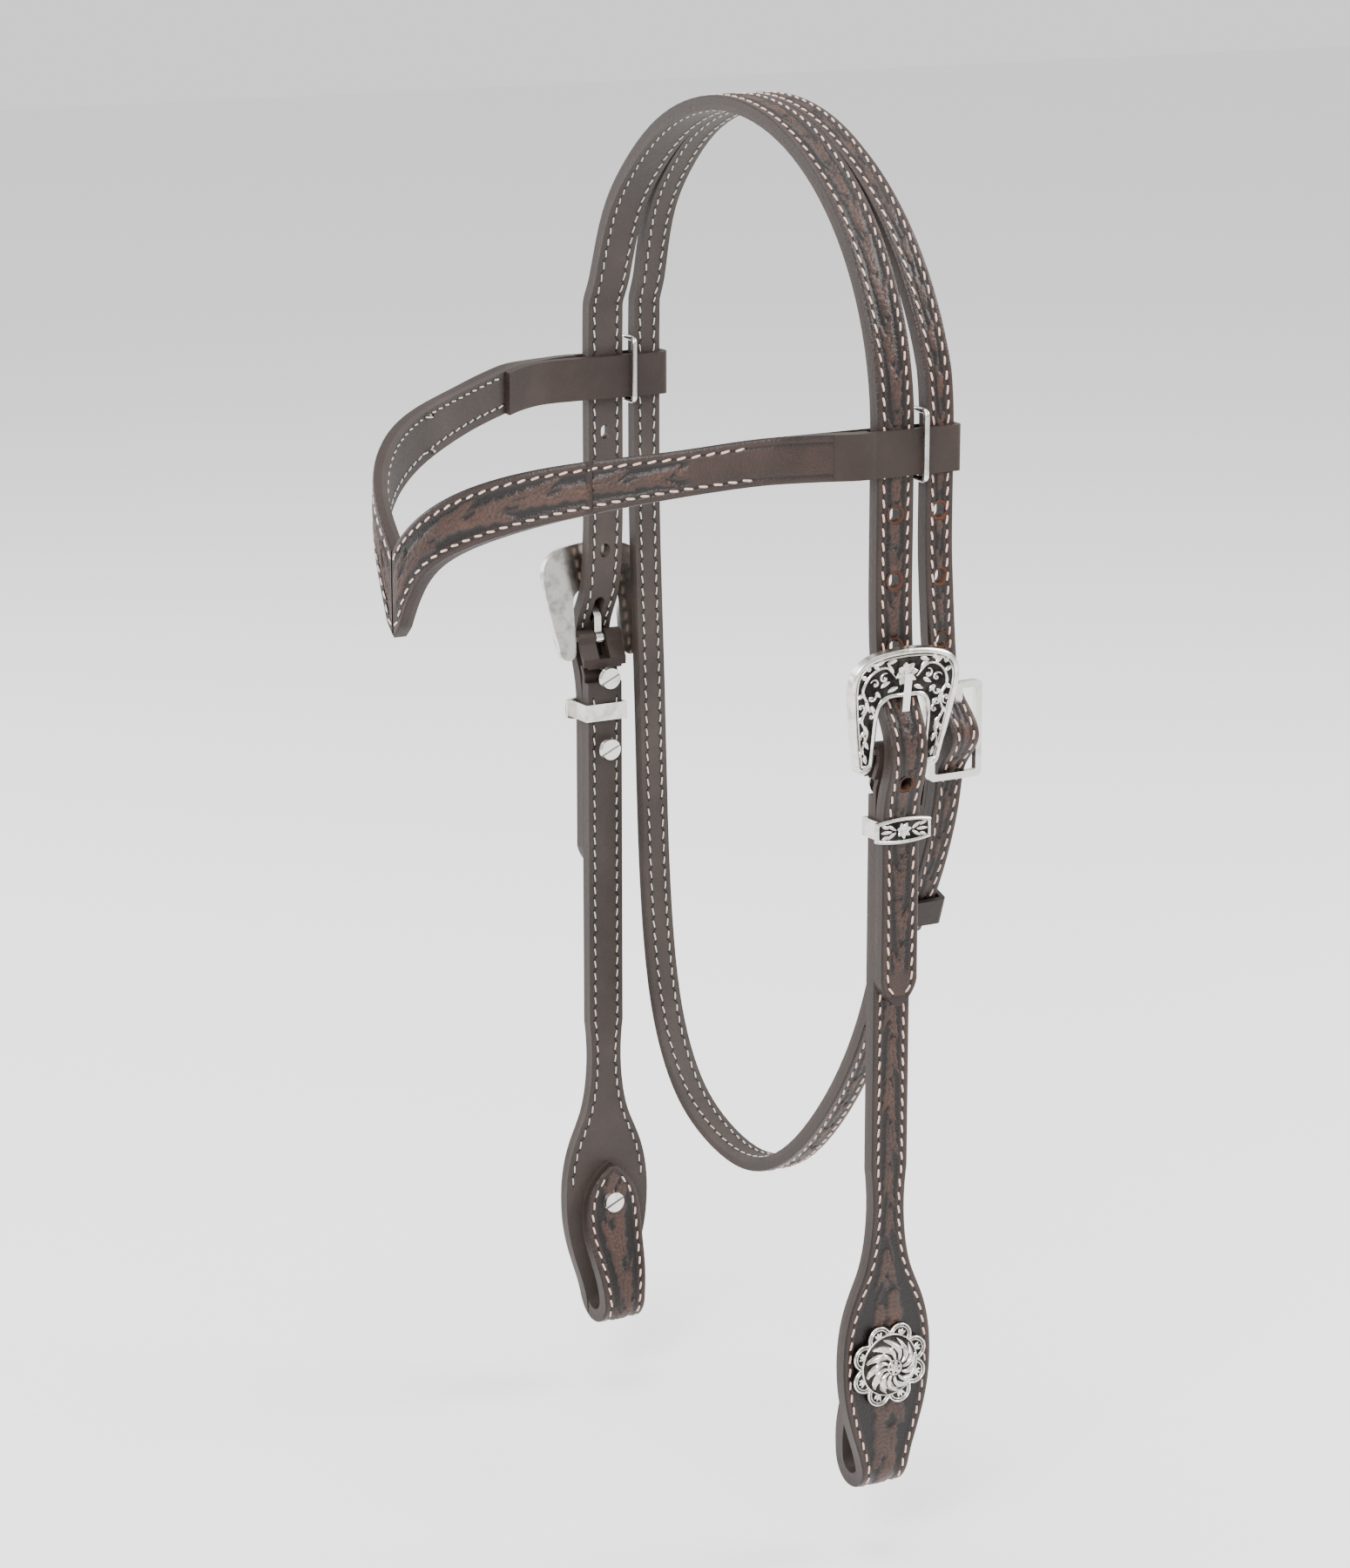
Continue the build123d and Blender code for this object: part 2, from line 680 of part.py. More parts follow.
def cheek_buckle():
    """Cheek buckle: an arched plate with two legs, and the bar between them."""
    with BuildPart() as buckle:
        with BuildSketch(buckle_plane()):
            with BuildLine():
                outer = Spline(
                    (0, BUCKLE_TOP),
                    (0.4 * BUCKLE_HALF, BUCKLE_TOP - 0.7),
                    (0.76 * BUCKLE_HALF, BUCKLE_TOP - 3.2),
                    (0.95 * BUCKLE_HALF, BUCKLE_TOP - 7.8),
                    (BUCKLE_HALF, BUCKLE_TOP - 14.5),
                    (0.94 * BUCKLE_HALF, BUCKLE_TOP - 25.5),
                    (0.86 * BUCKLE_HALF, BUCKLE_TOP - 36),
                    (0.78 * BUCKLE_HALF, 3.5 - BUCKLE_FOOT),
                    tangents=((1, 0), (-0.15, -1)),
                )
                foot = ThreePointArc(
                    outer @ 1, (0.62 * BUCKLE_HALF, -BUCKLE_FOOT), (11, -5)
                )
                leg = Line(foot @ 1, (WINDOW_HALF + 0.6, WINDOW_TOP - 8))
                corner = Spline(
                    leg @ 1,
                    (WINDOW_HALF - 0.4, WINDOW_TOP - 2.6),
                    (WINDOW_HALF - 3.2, WINDOW_TOP - 0.3),
                    (0, WINDOW_TOP),
                    tangents=((-0.05, 1), (-1, 0)),
                )
                Line(corner @ 1, outer @ 0)
            make_face()
            mirror(about=Plane.YZ)
        extrude(amount=BUCKLE_PLATE / 2, both=True)
        with BuildSketch(side_plane(FRONT_Y)):
            with Locations((CHEEK_BAR_X, CHEEK_BAR_Z)):
                Circle(BAR_RADIUS)
        extrude(amount=12.6, both=True)
    return buckle


def prong(bar, bar_radius, y, rises):
    """A flat prong: its eye turns on the bar and its tip rests on the frame."""
    eye_radius = bar_radius + EYE_FIT + EYE_PLATE
    bar_x, bar_z = bar
    points = [(bar_x + x, bar_z + z) for x, z in rises]
    with BuildPart() as tongue:
        with BuildSketch(side_plane(y)):
            with BuildLine():
                middle = Polyline(*points)
            trace(middle, line_width=PRONG_PLATE)
            with Locations(bar):
                Circle(eye_radius)
                Circle(bar_radius + EYE_FIT, mode=Mode.SUBTRACT)
        extrude(amount=PRONG_WIDTH / 2, both=True)
    return tongue


def cheek_prong():
    """Prong of a cheek buckle, up through the used hole of its billet."""
    lean = radians(BUCKLE_TILT)
    lift = BUCKLE_PLATE / 2 + PRONG_PLATE / 2 + REST_GAP
    on_frame = [
        (up * sin(lean) + lift * cos(lean), up * cos(lean) - lift * sin(lean))
        for up in (WINDOW_TOP + 1.5, WINDOW_TOP + 10)
    ]
    rises = [(0, BAR_RADIUS + 0.9), (0.2, 8.8), (5.4, 15.6)] + on_frame
    return prong((CHEEK_BAR_X, CHEEK_BAR_Z), BAR_RADIUS, FRONT_Y, rises)


def cheek_keeper():
    """Metal keeper: a plate across the billet and a band round both straps."""
    back_x = CHEEK_X - STRAP - KEEPER_GAP - KEEPER_BAND
    plate_x = BILLET_SKIN_X + KEEPER_GAP
    inner_half = FRONT_WIDTH / 2 + 0.6
    middle_x = (back_x + plate_x + KEEPER_PLATE) / 2
    with BuildPart() as keeper:
        with BuildSketch(Plane.XY.offset(KEEPER_Z - 0.36 * KEEPER_HEIGHT)):
            with Locations((middle_x, FRONT_Y)):
                Rectangle(
                    plate_x + KEEPER_PLATE - back_x, 2 * (inner_half + KEEPER_BAND)
                )
            with Locations(
                ((back_x + KEEPER_BAND + plate_x) / 2, FRONT_Y),
            ):
                Rectangle(
                    plate_x - back_x - KEEPER_BAND, 2 * inner_half, mode=Mode.SUBTRACT
                )
        extrude(amount=0.72 * KEEPER_HEIGHT)
        with BuildSketch(Plane.YZ.offset(plate_x)):
            with BuildLine():
                half = KEEPER_PLATE_WIDTH / 2
                side = 0.38 * KEEPER_HEIGHT
                crown_z = KEEPER_HEIGHT / 2
                top = ThreePointArc(
                    (FRONT_Y - half, KEEPER_Z + side),
                    (FRONT_Y, KEEPER_Z + crown_z),
                    (FRONT_Y + half, KEEPER_Z + side),
                )
                base = ThreePointArc(
                    (FRONT_Y - half, KEEPER_Z - side),
                    (FRONT_Y, KEEPER_Z - crown_z),
                    (FRONT_Y + half, KEEPER_Z - side),
                )
                Line(top @ 0, base @ 0)
                Line(top @ 1, base @ 1)
            make_face()
        extrude(amount=KEEPER_PLATE)
    return keeper


def screw_post(z):
    """Barrel of a two-piece screw, its flange sunk in the outer leather."""
    barrel_x = TURNBACK_SKIN_X + 0.4
    with BuildPart() as post:
        with BuildSketch(Plane.YZ.offset(barrel_x)):
            with Locations((FRONT_Y, z)):
                Circle(POST_RADIUS)
                Circle(THREAD_RADIUS + THREAD_FIT, mode=Mode.SUBTRACT)
        extrude(amount=CHEEK_X - FLANGE - barrel_x)
        with BuildSketch(Plane.YZ.offset(CHEEK_X - FLANGE)):
            with Locations((FRONT_Y, z)):
                Circle(FLANGE_RADIUS)
        extrude(amount=FLANGE)
    return post


def slotted_screw(face_x, z, shank):
    """Domed slotted head against a leather face, with its shank outwards."""
    with BuildPart() as screw:
        with BuildSketch(Plane.YZ.offset(face_x)):
            with Locations((FRONT_Y, z)):
                Circle(HEAD_RADIUS)
        extrude(amount=-HEAD, taper=18)
        with BuildSketch(Plane.YZ.offset(face_x - HEAD)):
            with Locations((FRONT_Y, z)):
                Rectangle(2 * HEAD_RADIUS, SLOT_WIDTH, rotation=25)
        extrude(amount=SLOT_DEPTH, mode=Mode.SUBTRACT)
        with BuildSketch(Plane.YZ.offset(face_x)):
            with Locations((FRONT_Y, z)):
                Circle(THREAD_RADIUS)
        extrude(amount=shank)
    return screw


def upper_screw(z):
    """Screw of the turnback, whose head shows on the inside of the cheek."""
    return slotted_screw(TURNBACK_SKIN_X, z, CHEEK_X - FLANGE - 1 - TURNBACK_SKIN_X)


def concho():
    """Eight-lobed concho with a domed middle and a threaded post behind it."""
    back_x = CHEEK_X + SPIN_GAP
    tab_x = CHEEK_X - 2 * STRAP - LAY_GAP
    post_x = tab_x + 0.4
    with BuildPart() as rosette:
        with BuildSketch(Plane.YZ.offset(back_x)):
            with Locations((FRONT_Y, CONCHO_Z)):
                Circle(0.86 * CONCHO_RADIUS)
                with PolarLocations(CONCHO_RADIUS - 5.2, 8, start_angle=22.5):
                    Circle(5.2)
        extrude(amount=CONCHO_PLATE)
        with BuildSketch(Plane.YZ.offset(back_x + CONCHO_PLATE)):
            with Locations((FRONT_Y, CONCHO_Z)):
                Circle(CONCHO_DOME_RADIUS)
        extrude(amount=CONCHO_RISE, taper=45)
        with BuildSketch(Plane.YZ.offset(post_x)):
            with Locations((FRONT_Y, CONCHO_Z)):
                Circle(POST_RADIUS)
        extrude(amount=back_x - post_x)
        with BuildSketch(Plane.YZ.offset(post_x)):
            with Locations((FRONT_Y, CONCHO_Z)):
                Circle(THREAD_RADIUS + THREAD_FIT)
        extrude(amount=back_x - post_x - 1, mode=Mode.SUBTRACT)
    return rosette


def bit_screw():
    """Screw that holds the concho, with its head on the tab."""
    tab_x = CHEEK_X - 2 * STRAP - LAY_GAP - SPIN_GAP
    return slotted_screw(tab_x, CONCHO_Z, 2 * STRAP - 1.5)


BAND_TANGENTS = ((1, 0), (0, 1))


def browband_points():
    """Skin points of the browband in plan, from its middle to the near loop."""
    return [
        (0, BROW_FRONT_Y),
        (15.5, BROW_FRONT_Y + 1.6),
        (27.5, BROW_FRONT_Y + 6.0),
        (38.5, BROW_FRONT_Y + 12.6),
        (52.5, BROW_FRONT_Y + 24.2),
        (67.8, BROW_FRONT_Y + 41.2),
        (84.4, BROW_FRONT_Y + 65.2),
        (LOOP_SKIN_X - 21.5, LOOP_START_Y - 61),
        (LOOP_SKIN_X - 13.5, LOOP_START_Y - 46),
        (LOOP_SKIN_X - 6.7, LOOP_START_Y - 31),
        (LOOP_SKIN_X - 1.9, LOOP_START_Y - 16),
        (LOOP_SKIN_X, LOOP_START_Y),
    ]


def browband_front():
    """The browband seen from the front: level arms that drop to a V."""
    half = [
        (0, V_NOTCH_Z),
        (8, V_NOTCH_Z + 8.2),
        (18.5, V_NOTCH_Z + 16.5),
        (34, BROW_TOP_Z - 23.4),
        (55, BROW_TOP_Z - 13.8),
        (75, BROW_TOP_Z - 8.0),
        (90, BROW_TOP_Z - 4.4),
        (98, BROW_TOP_Z - 1.9),
        (104, BROW_TOP_Z - 0.3),
        (118, BROW_TOP_Z),
    ]
    low = BROW_TOP_Z - BROW_HEIGHT
    bottom = [
        (118, low),
        (104, low - 0.3),
        (98, low - 1.7),
        (90, low - 4.1),
        (75, low - 9.3),
        (58, low - 16.0),
        (42, low - 23.5),
        (26, low - 33.0),
        (13.5, low - 46.0),
        (5.5, low - 60.0),
        (0, V_TIP_Z),
    ]
    with BuildSketch() as outline:
        with BuildLine():
            top = Spline(*half, tangents=((0.6, 0.8), (1, 0)))
            base = Spline(*bottom, tangents=((-1, 0), (-0.75, -0.66)))
            Line(top @ 1, base @ 0)
            Line(base @ 1, top @ 0)
        make_face()
    return outline.sketch


def loop_plan():
    """Plan of the near loop: thin leather round both crown straps."""
    rear_y = REAR_EDGE_Y + LOOP_FIT + LOOP_PLY
    wall = LOOP_PLY
    with BuildSketch() as plan:
        with BuildLine():
            skin = FilletPolyline(
                (LOOP_SKIN_X, LOOP_START_Y - 0.2),
                (LOOP_SKIN_X, rear_y),
                (LOOP_INNER_X, rear_y),
                (LOOP_INNER_X, LOOP_START_Y - 0.2),
                radius=2.6,
            )
            flesh = FilletPolyline(
                (LOOP_SKIN_X - wall, LOOP_START_Y - 0.2),
                (LOOP_SKIN_X - wall, rear_y - wall),
                (LOOP_INNER_X + wall, rear_y - wall),
                (LOOP_INNER_X + wall, LOOP_START_Y - 0.2),
                radius=0.5,
            )
            Line(skin @ 0, flesh @ 0)
            Line(skin @ 1, flesh @ 1)
        make_face()
    return plan.sketch


def loop_return():
    """Plan of the loop's end, which comes back to lie on the band's lining."""
    band = skin_line(browband_points(), BAND_TANGENTS)
    depth = STRAP + LAY_GAP + LOOP_PLY
    landed = parallel(band, depth, 0.86, 0.76, count=3)
    lifted = [(LOOP_INNER_X, LOOP_START_Y), (LOOP_INNER_X, LOOP_START_Y - 6)]
    return ply(lifted + landed, ((0, -1), (-0.43, -0.9)), 0, LOOP_PLY, count=16)


def browband(top, bottom, looped):
    """One ply of the browband; the outer ply also makes both loops."""
    low = V_TIP_Z - 2
    height = BROW_TOP_Z + 2 - low
    points = browband_points()
    with BuildPart() as half:
        with BuildSketch(Plane.XY.offset(low)):
            add(ply(points, BAND_TANGENTS, top, bottom, count=20))
            with Locations((LOOP_SKIN_X, LOOP_START_Y - LOOP_LEAD)):
                Rectangle(30, 30, align=(Align.CENTER, Align.MIN), mode=Mode.SUBTRACT)
        extrude(amount=height)
        if looped:
            with BuildSketch(Plane.XY.offset(low)):
                add(ply(points, BAND_TANGENTS, 0, LOOP_PLY, count=20))
            extrude(amount=height)
            with BuildSketch(Plane.XY.offset(low)):
                add(loop_plan())
            extrude(amount=height)
            with BuildSketch(Plane.XY.offset(low)):
                add(loop_return())
            extrude(amount=height)
        with BuildSketch(Plane.XZ):
            add(browband_front())
        extrude(amount=FAR_SIDE / 2, both=True, mode=Mode.INTERSECT)
    with BuildPart() as band:
        add(half.part)
        mirror(about=Plane.YZ)
    return band


def wire_ring():
    """Flattened wire ring round a browband loop, between the crown straps."""
    outer_x = LOOP_SKIN_X + RING_SIDE_GAP + RING_WIRE
    inner_x = LOOP_INNER_X - RING_SIDE_GAP - RING_WIRE
    top_z = RING_TOP_Z - RING_WIRE
    bottom_z = RING_BOTTOM_Z + RING_WIRE
    with BuildPart() as ring:
        with BuildLine(side_plane(RING_Y)) as path:
            FilletPolyline(
                (outer_x, top_z),
                (outer_x, bottom_z),
                (inner_x, bottom_z),
                (inner_x, top_z),
                radius=2.0,
                close=True,
            )
        with BuildSketch(Plane(origin=path.line @ 0, z_dir=path.line % 0)):
            Circle(RING_WIRE)
        sweep(path=path.line)
    return ring


def throat_buckle():
    """Plain rectangular wire buckle with a bar across its middle."""
    middle_y = REAR_Y + THROAT_BOW
    wire = THROAT_FRAME_WIRE
    with BuildPart() as buckle:
        with BuildSketch(Plane.YZ.offset(THROAT_BAR_X - wire / 2)):
            with Locations((middle_y, THROAT_BAR_Z)):
                RectangleRounded(THROAT_FRAME_WIDTH, THROAT_FRAME_HEIGHT, 2.4)
                RectangleRounded(
                    THROAT_FRAME_WIDTH - 2 * wire,
                    THROAT_FRAME_HEIGHT - 2 * wire,
                    1.0,
                    mode=Mode.SUBTRACT,
                )
        extrude(amount=wire)
        with BuildSketch(side_plane(middle_y)):
            with Locations((THROAT_BAR_X, THROAT_BAR_Z)):
                Circle(THROAT_BAR_RADIUS)
        extrude(amount=THROAT_FRAME_WIDTH / 2 - 1, both=True)
    return buckle


def throat_prong():
    """Prong of the throat buckle, through the rear billet to the top bar."""
    lift = THROAT_FRAME_WIRE / 2 + PRONG_PLATE / 2 + REST_GAP
    top_bar = THROAT_FRAME_HEIGHT / 2 - THROAT_FRAME_WIRE / 2
    rises = [
        (0, THROAT_BAR_RADIUS + 0.9),
        (0.2, 7.6),
        (lift, 13.0),
        (lift, top_bar + 1.2),
    ]
    bar = (THROAT_BAR_X, THROAT_BAR_Z)
    return prong(bar, THROAT_BAR_RADIUS, REAR_Y + THROAT_BOW, rises)


def throat_keeper():
    """Leather loop that holds the rear billet down on the throat strap."""
    tail = skin_line(rear_tail(), REAR_TAIL_TANGENTS)
    share = 0.085
    centre_x, centre_z = under(tail, share, STRAP + LAY_GAP / 2)
    along = tail % share
    lean_y = REAR_Y + 0.43 * THROAT_BOW
    across = Plane(
        origin=(centre_x, lean_y, centre_z),
        x_dir=(0, 1, 0),
        z_dir=(along.X, 0, along.Y),
    )
    width = REAR_WIDTH + 2 * THROAT_KEEPER_GAP + 1.2
    depth = 2 * STRAP + LAY_GAP + 2 * THROAT_KEEPER_GAP + 0.4
    with BuildPart() as keeper:
        with BuildSketch(across):
            RectangleRounded(
                width + 2 * THROAT_KEEPER_PLY, depth + 2 * THROAT_KEEPER_PLY, 2.2
            )
            RectangleRounded(width, depth, 0.6, mode=Mode.SUBTRACT)
        extrude(amount=THROAT_KEEPER_HEIGHT / 2, both=True)
    return keeper


def save(name, shape):
    """Name a finished piece and write it out."""
    shape.label = name
    export_step(shape, f"parts/{name}.step")


def main():
    """Build every piece, and the far side as the mirror of the near side."""
    os.makedirs("parts", exist_ok=True)
    save("crown_outer", crown(0, OUTER_PLY, True).part)
    save("crown_lining", crown(OUTER_PLY, STRAP, False).part)
    save("browband_outer", browband(0, OUTER_PLY, True).part)
    save("browband_lining", browband(OUTER_PLY, STRAP, False).part)
    save("throat_buckle", throat_buckle().part)
    save("throat_prong", throat_prong().part)
    save("throat_keeper", throat_keeper().part)
    pieces = {
        "cheek_strap": cheek_strap(),
        "cheek_lining": cheek_lining(),
        "cheek_buckle": cheek_buckle(),
        "cheek_prong": cheek_prong(),
        "cheek_keeper": cheek_keeper(),
        "upper_post": screw_post(UPPER_SCREW_Z),
        "upper_screw": upper_screw(UPPER_SCREW_Z),
        "lower_post": screw_post(LOWER_SCREW_Z),
        "lower_screw": upper_screw(LOWER_SCREW_Z),
        "concho": concho(),
        "bit_screw": bit_screw(),
        "browband_ring": wire_ring(),
    }
    for name, piece in pieces.items():
        save(f"near_{name}", piece.part)
        save(f"far_{name}", mirror(piece.part, about=Plane.YZ))




main()
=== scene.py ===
"""Looks of the western headstall: tooled and stitched leather with engraved silver.

Every strap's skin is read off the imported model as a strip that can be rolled
out flat: s runs along the strap and w across it. The carved relief, the stitch
rows and the silver ornament are then laid on those strips and faces.
"""

import math
import random

import bpy
import numpy as np
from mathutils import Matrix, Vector
from mathutils.bvhtree import BVHTree


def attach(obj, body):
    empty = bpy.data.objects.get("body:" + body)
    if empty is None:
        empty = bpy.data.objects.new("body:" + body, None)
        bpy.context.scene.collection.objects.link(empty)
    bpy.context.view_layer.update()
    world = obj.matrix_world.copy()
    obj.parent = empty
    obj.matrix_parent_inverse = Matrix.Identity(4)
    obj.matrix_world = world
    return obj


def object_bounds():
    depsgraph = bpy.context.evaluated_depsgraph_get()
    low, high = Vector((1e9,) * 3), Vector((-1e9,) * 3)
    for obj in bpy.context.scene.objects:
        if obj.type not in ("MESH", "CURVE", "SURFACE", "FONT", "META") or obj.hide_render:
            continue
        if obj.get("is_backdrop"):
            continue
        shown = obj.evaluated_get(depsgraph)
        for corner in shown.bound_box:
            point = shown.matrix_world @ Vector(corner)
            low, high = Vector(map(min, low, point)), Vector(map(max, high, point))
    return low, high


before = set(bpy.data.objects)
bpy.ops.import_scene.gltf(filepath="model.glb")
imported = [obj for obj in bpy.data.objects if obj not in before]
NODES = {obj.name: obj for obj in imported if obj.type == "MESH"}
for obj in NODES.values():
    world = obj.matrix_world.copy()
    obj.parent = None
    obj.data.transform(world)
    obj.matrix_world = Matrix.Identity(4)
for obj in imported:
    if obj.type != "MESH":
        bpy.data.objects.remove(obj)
cad_low, cad_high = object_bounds()
cad_box = [list(cad_low), list(cad_high)]

# Lengths on straps are in metres; heights and places on silver plates are in
# millimetres of the plate, which Plate.at turns into metres.
MM = 0.001

# Straps
STRAP = 5.2 * MM
FRONT_Y = -6.0 * MM
FRONT_HALF = 8.0 * MM
REAR_WIDTH = 12.0 * MM
CROWN_SIDE_Z = -110.5 * MM
ARCH_CENTRE = Vector((0, 0, -109.8 * MM))
FRONT_TIP_Z = -326.5 * MM
REAR_TIP_Z = -309.0 * MM
FOLD_X = 103.5 * MM
FOLD_Z = -515.5 * MM
ACROSS_Y = (0, 1, 0)
ACROSS_Z = (0, 0, 1)

# Reading the skins: rays start this far out, and miss the holes by the offset
RAY_START = 0.2
RAY_STEP = 1.5 * MM
HOLE_MISS = 5.2 * MM
INSIDE_SKIN = 1.4 * MM

# Carved skin, as heights in shares of the relief
SKIN_STEP = 0.55 * MM
RELIEF = 0.85 * MM
SKIN_LIFT = 0.04 * MM
PLAIN_LEVEL = 0.60
GROOVE_DEPTH = 0.30
GROUND_LEVEL = 0.10
BORDER = 4.0 * MM
EDGE_ROUND = 1.1 * MM
SCROLL_PITCH = 17.0 * MM

# Stitches
SEAM_INSET = 2.7 * MM
STITCH_PITCH = 5.4 * MM
STITCH_LENGTH = 3.9 * MM
STITCH_SLANT = 0.16
THREAD_RADIUS = 0.44 * MM
LINING_THREAD_RADIUS = 0.30 * MM

# Silver
BUCKLE_BAR_X = 115.5 * MM
BUCKLE_BAR_Z = -228.0 * MM
BUCKLE_TILT = 9.0
BUCKLE_FACE = 1.5
KEEPER_Z = -258.5 * MM
CONCHO_Z = -473.5 * MM
CONCHO_LOBES = 8
LOBE_PLACE = 12.1


# ---------------------------------------------------------------- materials
def node_material(name):
    """An empty node material: returns it with its tree and shader."""
    material = bpy.data.materials.new(name)
    material.use_nodes = True
    tree = material.node_tree
    shader = tree.nodes["Principled BSDF"]
    return material, tree, shader


def add_node(tree, kind, **inputs):
    """A shader node with some of its inputs set."""
    node = tree.nodes.new(kind)
    for name, value in inputs.items():
        node.inputs[name.replace("_", " ")].default_value = value
    return node


def object_noise(tree, scale, detail=4.0, roughness=0.55):
    """Noise in the object's own space."""
    place = tree.nodes.new("ShaderNodeTexCoord")
    noise = add_node(tree, "ShaderNodeTexNoise", Scale=scale, Detail=detail, Roughness=roughness)
    tree.links.new(place.outputs["Object"], noise.inputs["Vector"])
    return noise


def ramp(tree, source, stops):
    """Colours spread over a value by a ramp."""
    node = tree.nodes.new("ShaderNodeValToRGB")
    elements = node.color_ramp.elements
    while len(elements) < len(stops):
        elements.new(0.5)
    for element, (place, colour) in zip(elements, stops):
        element.position = place
        element.color = (*colour, 1.0)
    tree.links.new(source, node.inputs["Fac"])
    return node


def bump_chain(tree, shader, layers):
    """Bump from several (height socket, strength, distance) layers."""
    normal = None
    for height, strength, distance in layers:
        bump = add_node(tree, "ShaderNodeBump", Strength=strength, Distance=distance)
        tree.links.new(height, bump.inputs["Height"])
        if normal is not None:
            tree.links.new(normal, bump.inputs["Normal"])
        normal = bump.outputs["Normal"]
    tree.links.new(normal, shader.inputs["Normal"])


def roughness_from(tree, shader, source, low, high):
    """Roughness that wanders between two values."""
    spread = tree.nodes.new("ShaderNodeMapRange")
    spread.inputs["To Min"].default_value = low
    spread.inputs["To Max"].default_value = high
    tree.links.new(source, spread.inputs["Value"])
    tree.links.new(spread.outputs["Result"], shader.inputs["Roughness"])


def leather(name, dark, mid, worn, rough=(0.42, 0.62), grain=0.25):
    """Oiled leather: pores, creases and patches where the dye is thinner."""
    material, tree, shader = node_material(name)
    patches = object_noise(tree, 38.0, 6.0, 0.6)
    colour = ramp(tree, patches.outputs["Fac"], [(0.3, dark), (0.55, mid), (0.78, worn)])
    tree.links.new(colour.outputs["Color"], shader.inputs["Base Color"])
    pores = add_node(tree, "ShaderNodeTexVoronoi", Scale=1500.0)
    place = tree.nodes.new("ShaderNodeTexCoord")
    tree.links.new(place.outputs["Object"], pores.inputs["Vector"])
    creases = object_noise(tree, 420.0, 5.0, 0.65)
    bump_chain(
        tree,
        shader,
        [
            (pores.outputs["Distance"], grain, 0.00025),
            (creases.outputs["Fac"], grain, 0.0006),
        ],
    )
    roughness_from(tree, shader, patches.outputs["Fac"], *rough)
    shader.inputs["Specular IOR Level"].default_value = 0.30
    return material


def tooled_leather():
    """Carved leather: colour painted from the carved height, a painted highlight on the raised leaves and
    painted shade on the darker stippled ground.
    """
    material, tree, shader = node_material("tooled_leather")
    relief = tree.nodes.new("ShaderNodeAttribute")
    relief.attribute_name = "relief"
    # Painted shade and painted highlight: the colour follows the carved height, near-black in the sunk
    # ground, grooves and rounded edges, lighter on the raised tops.
    relief_shade_and_highlight = ramp(
        tree,
        relief.outputs["Fac"],
        [
            (0.02, (0.0028, 0.0016, 0.0013)),
            (0.25, (0.0075, 0.0042, 0.0033)),
            (0.55, (0.022, 0.0125, 0.0096)),
            (1.0, (0.060, 0.030, 0.021)),
        ],
    )
    patches = object_noise(tree, 55.0, 6.0, 0.6)
    wear = ramp(
        tree,
        patches.outputs["Fac"],
        [(0.35, (0.72, 0.70, 0.70)), (0.7, (1.35, 1.22, 1.15))],
    )
    mix = tree.nodes.new("ShaderNodeMix")
    mix.data_type = "RGBA"
    mix.blend_type = "MULTIPLY"
    mix.inputs["Factor"].default_value = 1.0
    tree.links.new(relief_shade_and_highlight.outputs["Color"], mix.inputs["A"])
    tree.links.new(wear.outputs["Color"], mix.inputs["B"])
    tree.links.new(mix.outputs["Result"], shader.inputs["Base Color"])
    place = tree.nodes.new("ShaderNodeTexCoord")
    stipple = add_node(tree, "ShaderNodeTexVoronoi", Scale=1150.0)
    tree.links.new(place.outputs["Object"], stipple.inputs["Vector"])
    creases = object_noise(tree, 700.0, 4.0, 0.6)
    bump_chain(
        tree,
        shader,
        [
            (stipple.outputs["Distance"], 0.35, 0.0004),
            (creases.outputs["Fac"], 0.22, 0.0004),
        ],
    )
    roughness_from(tree, shader, patches.outputs["Fac"], 0.34, 0.52)
    shader.inputs["Specular IOR Level"].default_value = 0.36
    return material


def metal(name, light, dark, rough, tarnish, scratch=0.08):
    """Plated metal: soft cloudy tarnish and fine scratches."""
    material, tree, shader = node_material(name)
    cloud = object_noise(tree, 160.0, 6.0, 0.6)
    colour = ramp(tree, cloud.outputs["Fac"], [(tarnish, dark), (tarnish + 0.25, light)])
    tree.links.new(colour.outputs["Color"], shader.inputs["Base Color"])
    shader.inputs["Metallic"].default_value = 1.0
    fine = object_noise(tree, 1800.0, 3.0, 0.5)
    bump_chain(tree, shader, [(fine.outputs["Fac"], scratch, 0.0002)])
    roughness_from(tree, shader, cloud.outputs["Fac"], *rough)
    return material


def thread(name, light, dark):
    """Waxed thread: a twisted yarn whose grooves are darkened as painted shade."""
    material, tree, shader = node_material(name)
    twist = object_noise(tree, 900.0, 3.0, 0.5)
    # Painted shade: the same noise drives colour and bump, so the low grooves are darker.
    colour = ramp(tree, twist.outputs["Fac"], [(0.3, dark), (0.65, light)])
    tree.links.new(colour.outputs["Color"], shader.inputs["Base Color"])
    bump_chain(tree, shader, [(twist.outputs["Fac"], 0.4, 0.0003)])
    roughness_from(tree, shader, twist.outputs["Fac"], 0.6, 0.85)
    shader.inputs["Sheen Weight"].default_value = 0.3
    return material


